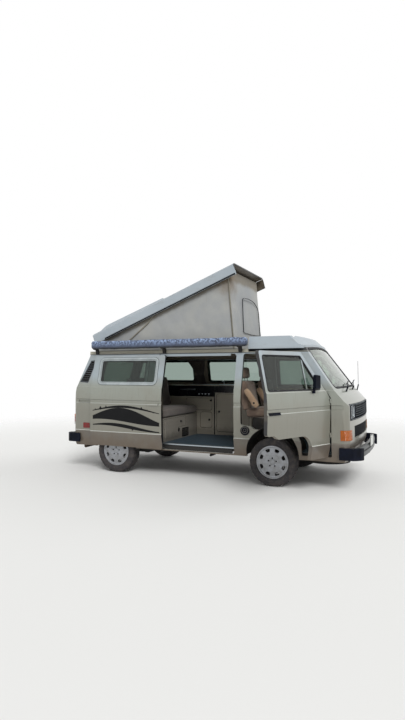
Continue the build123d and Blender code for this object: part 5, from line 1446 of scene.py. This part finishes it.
for way in (1, -1):
    pod.tube([STALK_ROOT, (1.820, STEER_Y + way * 0.100, 1.205), (1.812, STEER_Y + way * 0.145, 1.215)],
             [0.008, 0.007, 0.009], 8)
pod.make("instrument_pod", DASH, "black_plastic", bevel=0.006, segments=3)
dials.make("instrument_dials", GLOSS_BLACK, "black_plastic", sharp=40)
outlets.make("dash_fittings", BLACK, "black_plastic", bevel=0.001, sharp=40)
Soup().turned(HUB_PAD, WHEEL_HUB, (-0.160, 0, 0.142), 32).make(
    "steering_hub_pad", DASH, "black_plastic", "steering_wheel", sharp=50)

# Gear lever with its boot, and pedals
LEVER_X = 1.600
BOOT = [(0.075, -0.002), (0.070, 0.010), (0.045, 0.045), (0.030, 0.075), (0.014, 0.100), (0.0, 0.100),
        (0.0, -0.002)]
LEVER_KNOB = [(0.0, -0.022), (0.018, -0.018), (0.026, 0.0), (0.022, 0.020), (0.0, 0.028)]
levers = Soup()
foot_z = feel(["floor_pan", "wheelhouses", "underframe"], (1.620, 0.0, 1.20), (0, 0, -1)).z
levers.turned(BOOT, (LEVER_X, 0.0, foot_z), (0, 0, 1), 28)
levers.tube([(LEVER_X, 0, foot_z + 0.08), (1.585, 0, foot_z + 0.30), (1.555, 0, foot_z + 0.47)],
            [0.008, 0.007, 0.007], 10)
levers.turned(LEVER_KNOB, (1.553, 0, foot_z + 0.485), (-0.2, 0, 1), 20)
for y, half in ((0.300, 0.026), (0.390, 0.034), (0.480, 0.034)):
    levers.box((1.985, y - half, 0.640), (2.000, y + half, 0.700))
    levers.tube([(1.995, y, 0.690), (2.040, y, 0.800), (2.045, y, 0.960)], 0.008, 8)
levers.make("cab_levers", BLACK, "black_plastic", bevel=0.002)


# Door cards inside the front doors
CARD = [(0.860, 0.832, 0.030), (1.610, 0.832, 0.030), (1.800, 0.940, 0.040), (1.800, 1.255, 0.030),
        (0.860, 1.255, 0.030)]
POCKET = [(0.930, 0.852, 0.030), (1.500, 0.852, 0.030), (1.500, 0.955, 0.020), (0.930, 0.955, 0.020)]
ARM_REST, PULL = corners(1.000, 1.420, 1.035, 1.085, 0.020), corners(1.560, 1.680, 1.130, 1.160, 0.010)
CARD_EDGE = ((0.001, -0.001), (0.001, -0.007), (-0.005, -0.009), (-0.010, -0.006), (-0.010, -0.001))
CARD_H = -0.052  # the card's face, inwards of the door's skin


def card(word, place, at=None):
    """Card with pocket, arm rest, pull and window winder."""
    body = f"front_door_{word}"
    outline = rounded(CARD)
    panel = Soup().plate(outline, place, CARD_H - 0.006, CARD_H - 0.001, at)
    panel.band(outline, [(out, CARD_H + up) for out, up in CARD_EDGE], place, at)
    panel.plate(rounded(POCKET), place, CARD_H - 0.030, CARD_H - 0.005, at)
    panel.make(f"door_card_{word}", SEAT_SIDE, "beige_board", body, bevel=0.002, sharp=45)
    fit = Soup().plate(rounded(ARM_REST), place, CARD_H - 0.055, CARD_H - 0.005, at)
    middle = place(1.500, 1.010, CARD_H - 0.005)
    inward = (place(1.500, 1.010, CARD_H - 0.105) - middle).normalized()
    fit.turned([(0.0, 0.0), (0.026, 0.0), (0.022, 0.012), (0.0, 0.016)], middle, inward, 20, at=at)
    fit.tube([middle + inward * 0.012, place(1.500, 1.010, CARD_H - 0.025),
              place(1.455, 0.935, CARD_H - 0.030), place(1.450, 0.925, CARD_H - 0.050)],
             [0.008, 0.008, 0.007, 0.009], 8, at=at)
    fit.plate(rounded(PULL), place, CARD_H - 0.022, CARD_H - 0.005, at)
    fit.make(f"door_fittings_{word}", BLACK, "black_plastic", body, bevel=0.004, sharp=45)


card("right", right, DOOR_OPEN)
card("left", left)


# Mirror faces, both looking back in the photographed pose
def left_mirror(a, b, h):
    return Vector((1.6438 - h, a, b))


def right_mirror(a, b, h):
    return Vector((a, -0.9258 + h, b))


for word, place, a0, at in (("left", left_mirror, 0.936, None), ("right", right_mirror, 1.642, DOOR_OPEN)):
    Soup().plate(rounded_rectangle(a0, a0 + 0.092, 1.332, 1.478, 0.016), place, 0.0, 0.002, at).make(
        f"mirror_face_{word}", MIRROR, "bright_metal", f"front_door_{word}", sharp=40)

# Bench hatch
Soup().plate(rounded_rectangle(-0.712, -0.288, 0.520, 0.772, 0.012), bench_front, 0.0002, 0.006).make(
    "bench_hatch", BENCH_BOARD, "beige_board", bevel=0.0015, sharp=40)

# Plain centre caps of the wheels
CENTRE_CAP = [(0.0, -0.001), (0.034, -0.001), (0.034, 0.004), (0.030, 0.006), (0.012, 0.008), (0.0, 0.008)]
for wheel, x, side in WHEELS:
    face = feel([f"rim_{wheel}"], (x, side * 1.2, WHEEL_R), (0, -side, 0))
    cap = Soup().turned(CENTRE_CAP, (x, face.y, WHEEL_R), (0, side, 0), 32)
    cap.make(f"wheel_cap_{wheel}", ALLOY, "alloy", f"wheel_{wheel}", sharp=40)

# Floor, world and lamps
floor = bpy.data.objects.new("studio_floor", bpy.data.meshes.new("studio_floor"))
floor.data.from_pydata([(-30, -30, 0), (30, -30, 0), (30, 30, 0), (-30, 30, 0)], [], [(0, 1, 2, 3)])
bpy.context.scene.collection.objects.link(floor)
ground = Shade("studio_ground", (232, 232, 230), rough=0.9)
radius = ground.vector("LENGTH", ground.place, out="Value")
fade = ground.step(radius, 5.0, 12.0)
clear = ground.node("ShaderNodeBsdfTransparent")
blend = ground.node("ShaderNodeMixShader", {0: fade, 1: ground.bsdf.outputs[0], 2: clear.outputs[0]})
ground.tree.links.new(blend.outputs[0], ground.tree.nodes["Material Output"].inputs["Surface"])
floor.data.materials.append(ground.mat)

world = bpy.data.worlds.new("studio")
world.use_nodes = True
bpy.context.scene.world = world
tree = world.node_tree
sky = tree.nodes["Background"]
sky.inputs[0].default_value = (1, 1, 1, 1)
path = tree.nodes.new("ShaderNodeLightPath")
seen = path.outputs["Is Camera Ray"]  # white where seen, dimmer as a light
for ray in ("Is Glossy Ray", "Is Transmission Ray"):
    more = tree.nodes.new("ShaderNodeMath")
    more.operation = "MAXIMUM"
    tree.links.new(seen, more.inputs[0])
    tree.links.new(path.outputs[ray], more.inputs[1])
    seen = more.outputs[0]
level = tree.nodes.new("ShaderNodeMapRange")
tree.links.new(seen, level.inputs[0])
level.inputs[3].default_value = 0.55
level.inputs[4].default_value = 1.0
tree.links.new(level.outputs[0], sky.inputs[1])


def sun(name, energy, direction, size):
    made = bpy.data.lights.new(name, "SUN")
    made.energy = energy
    obj = bpy.data.objects.new(name, made)
    bpy.context.scene.collection.objects.link(obj)
    obj.rotation_euler = Vector(direction).to_track_quat("-Z", "Y").to_euler()
    made.angle = math.radians(size)


sun("key_light", 1.9, (-0.45, 0.62, -0.64), 22)
sun("fill_light", 0.5, (-0.6, -0.5, -0.6), 40)

bpy.context.scene.view_settings.view_transform = "Standard"
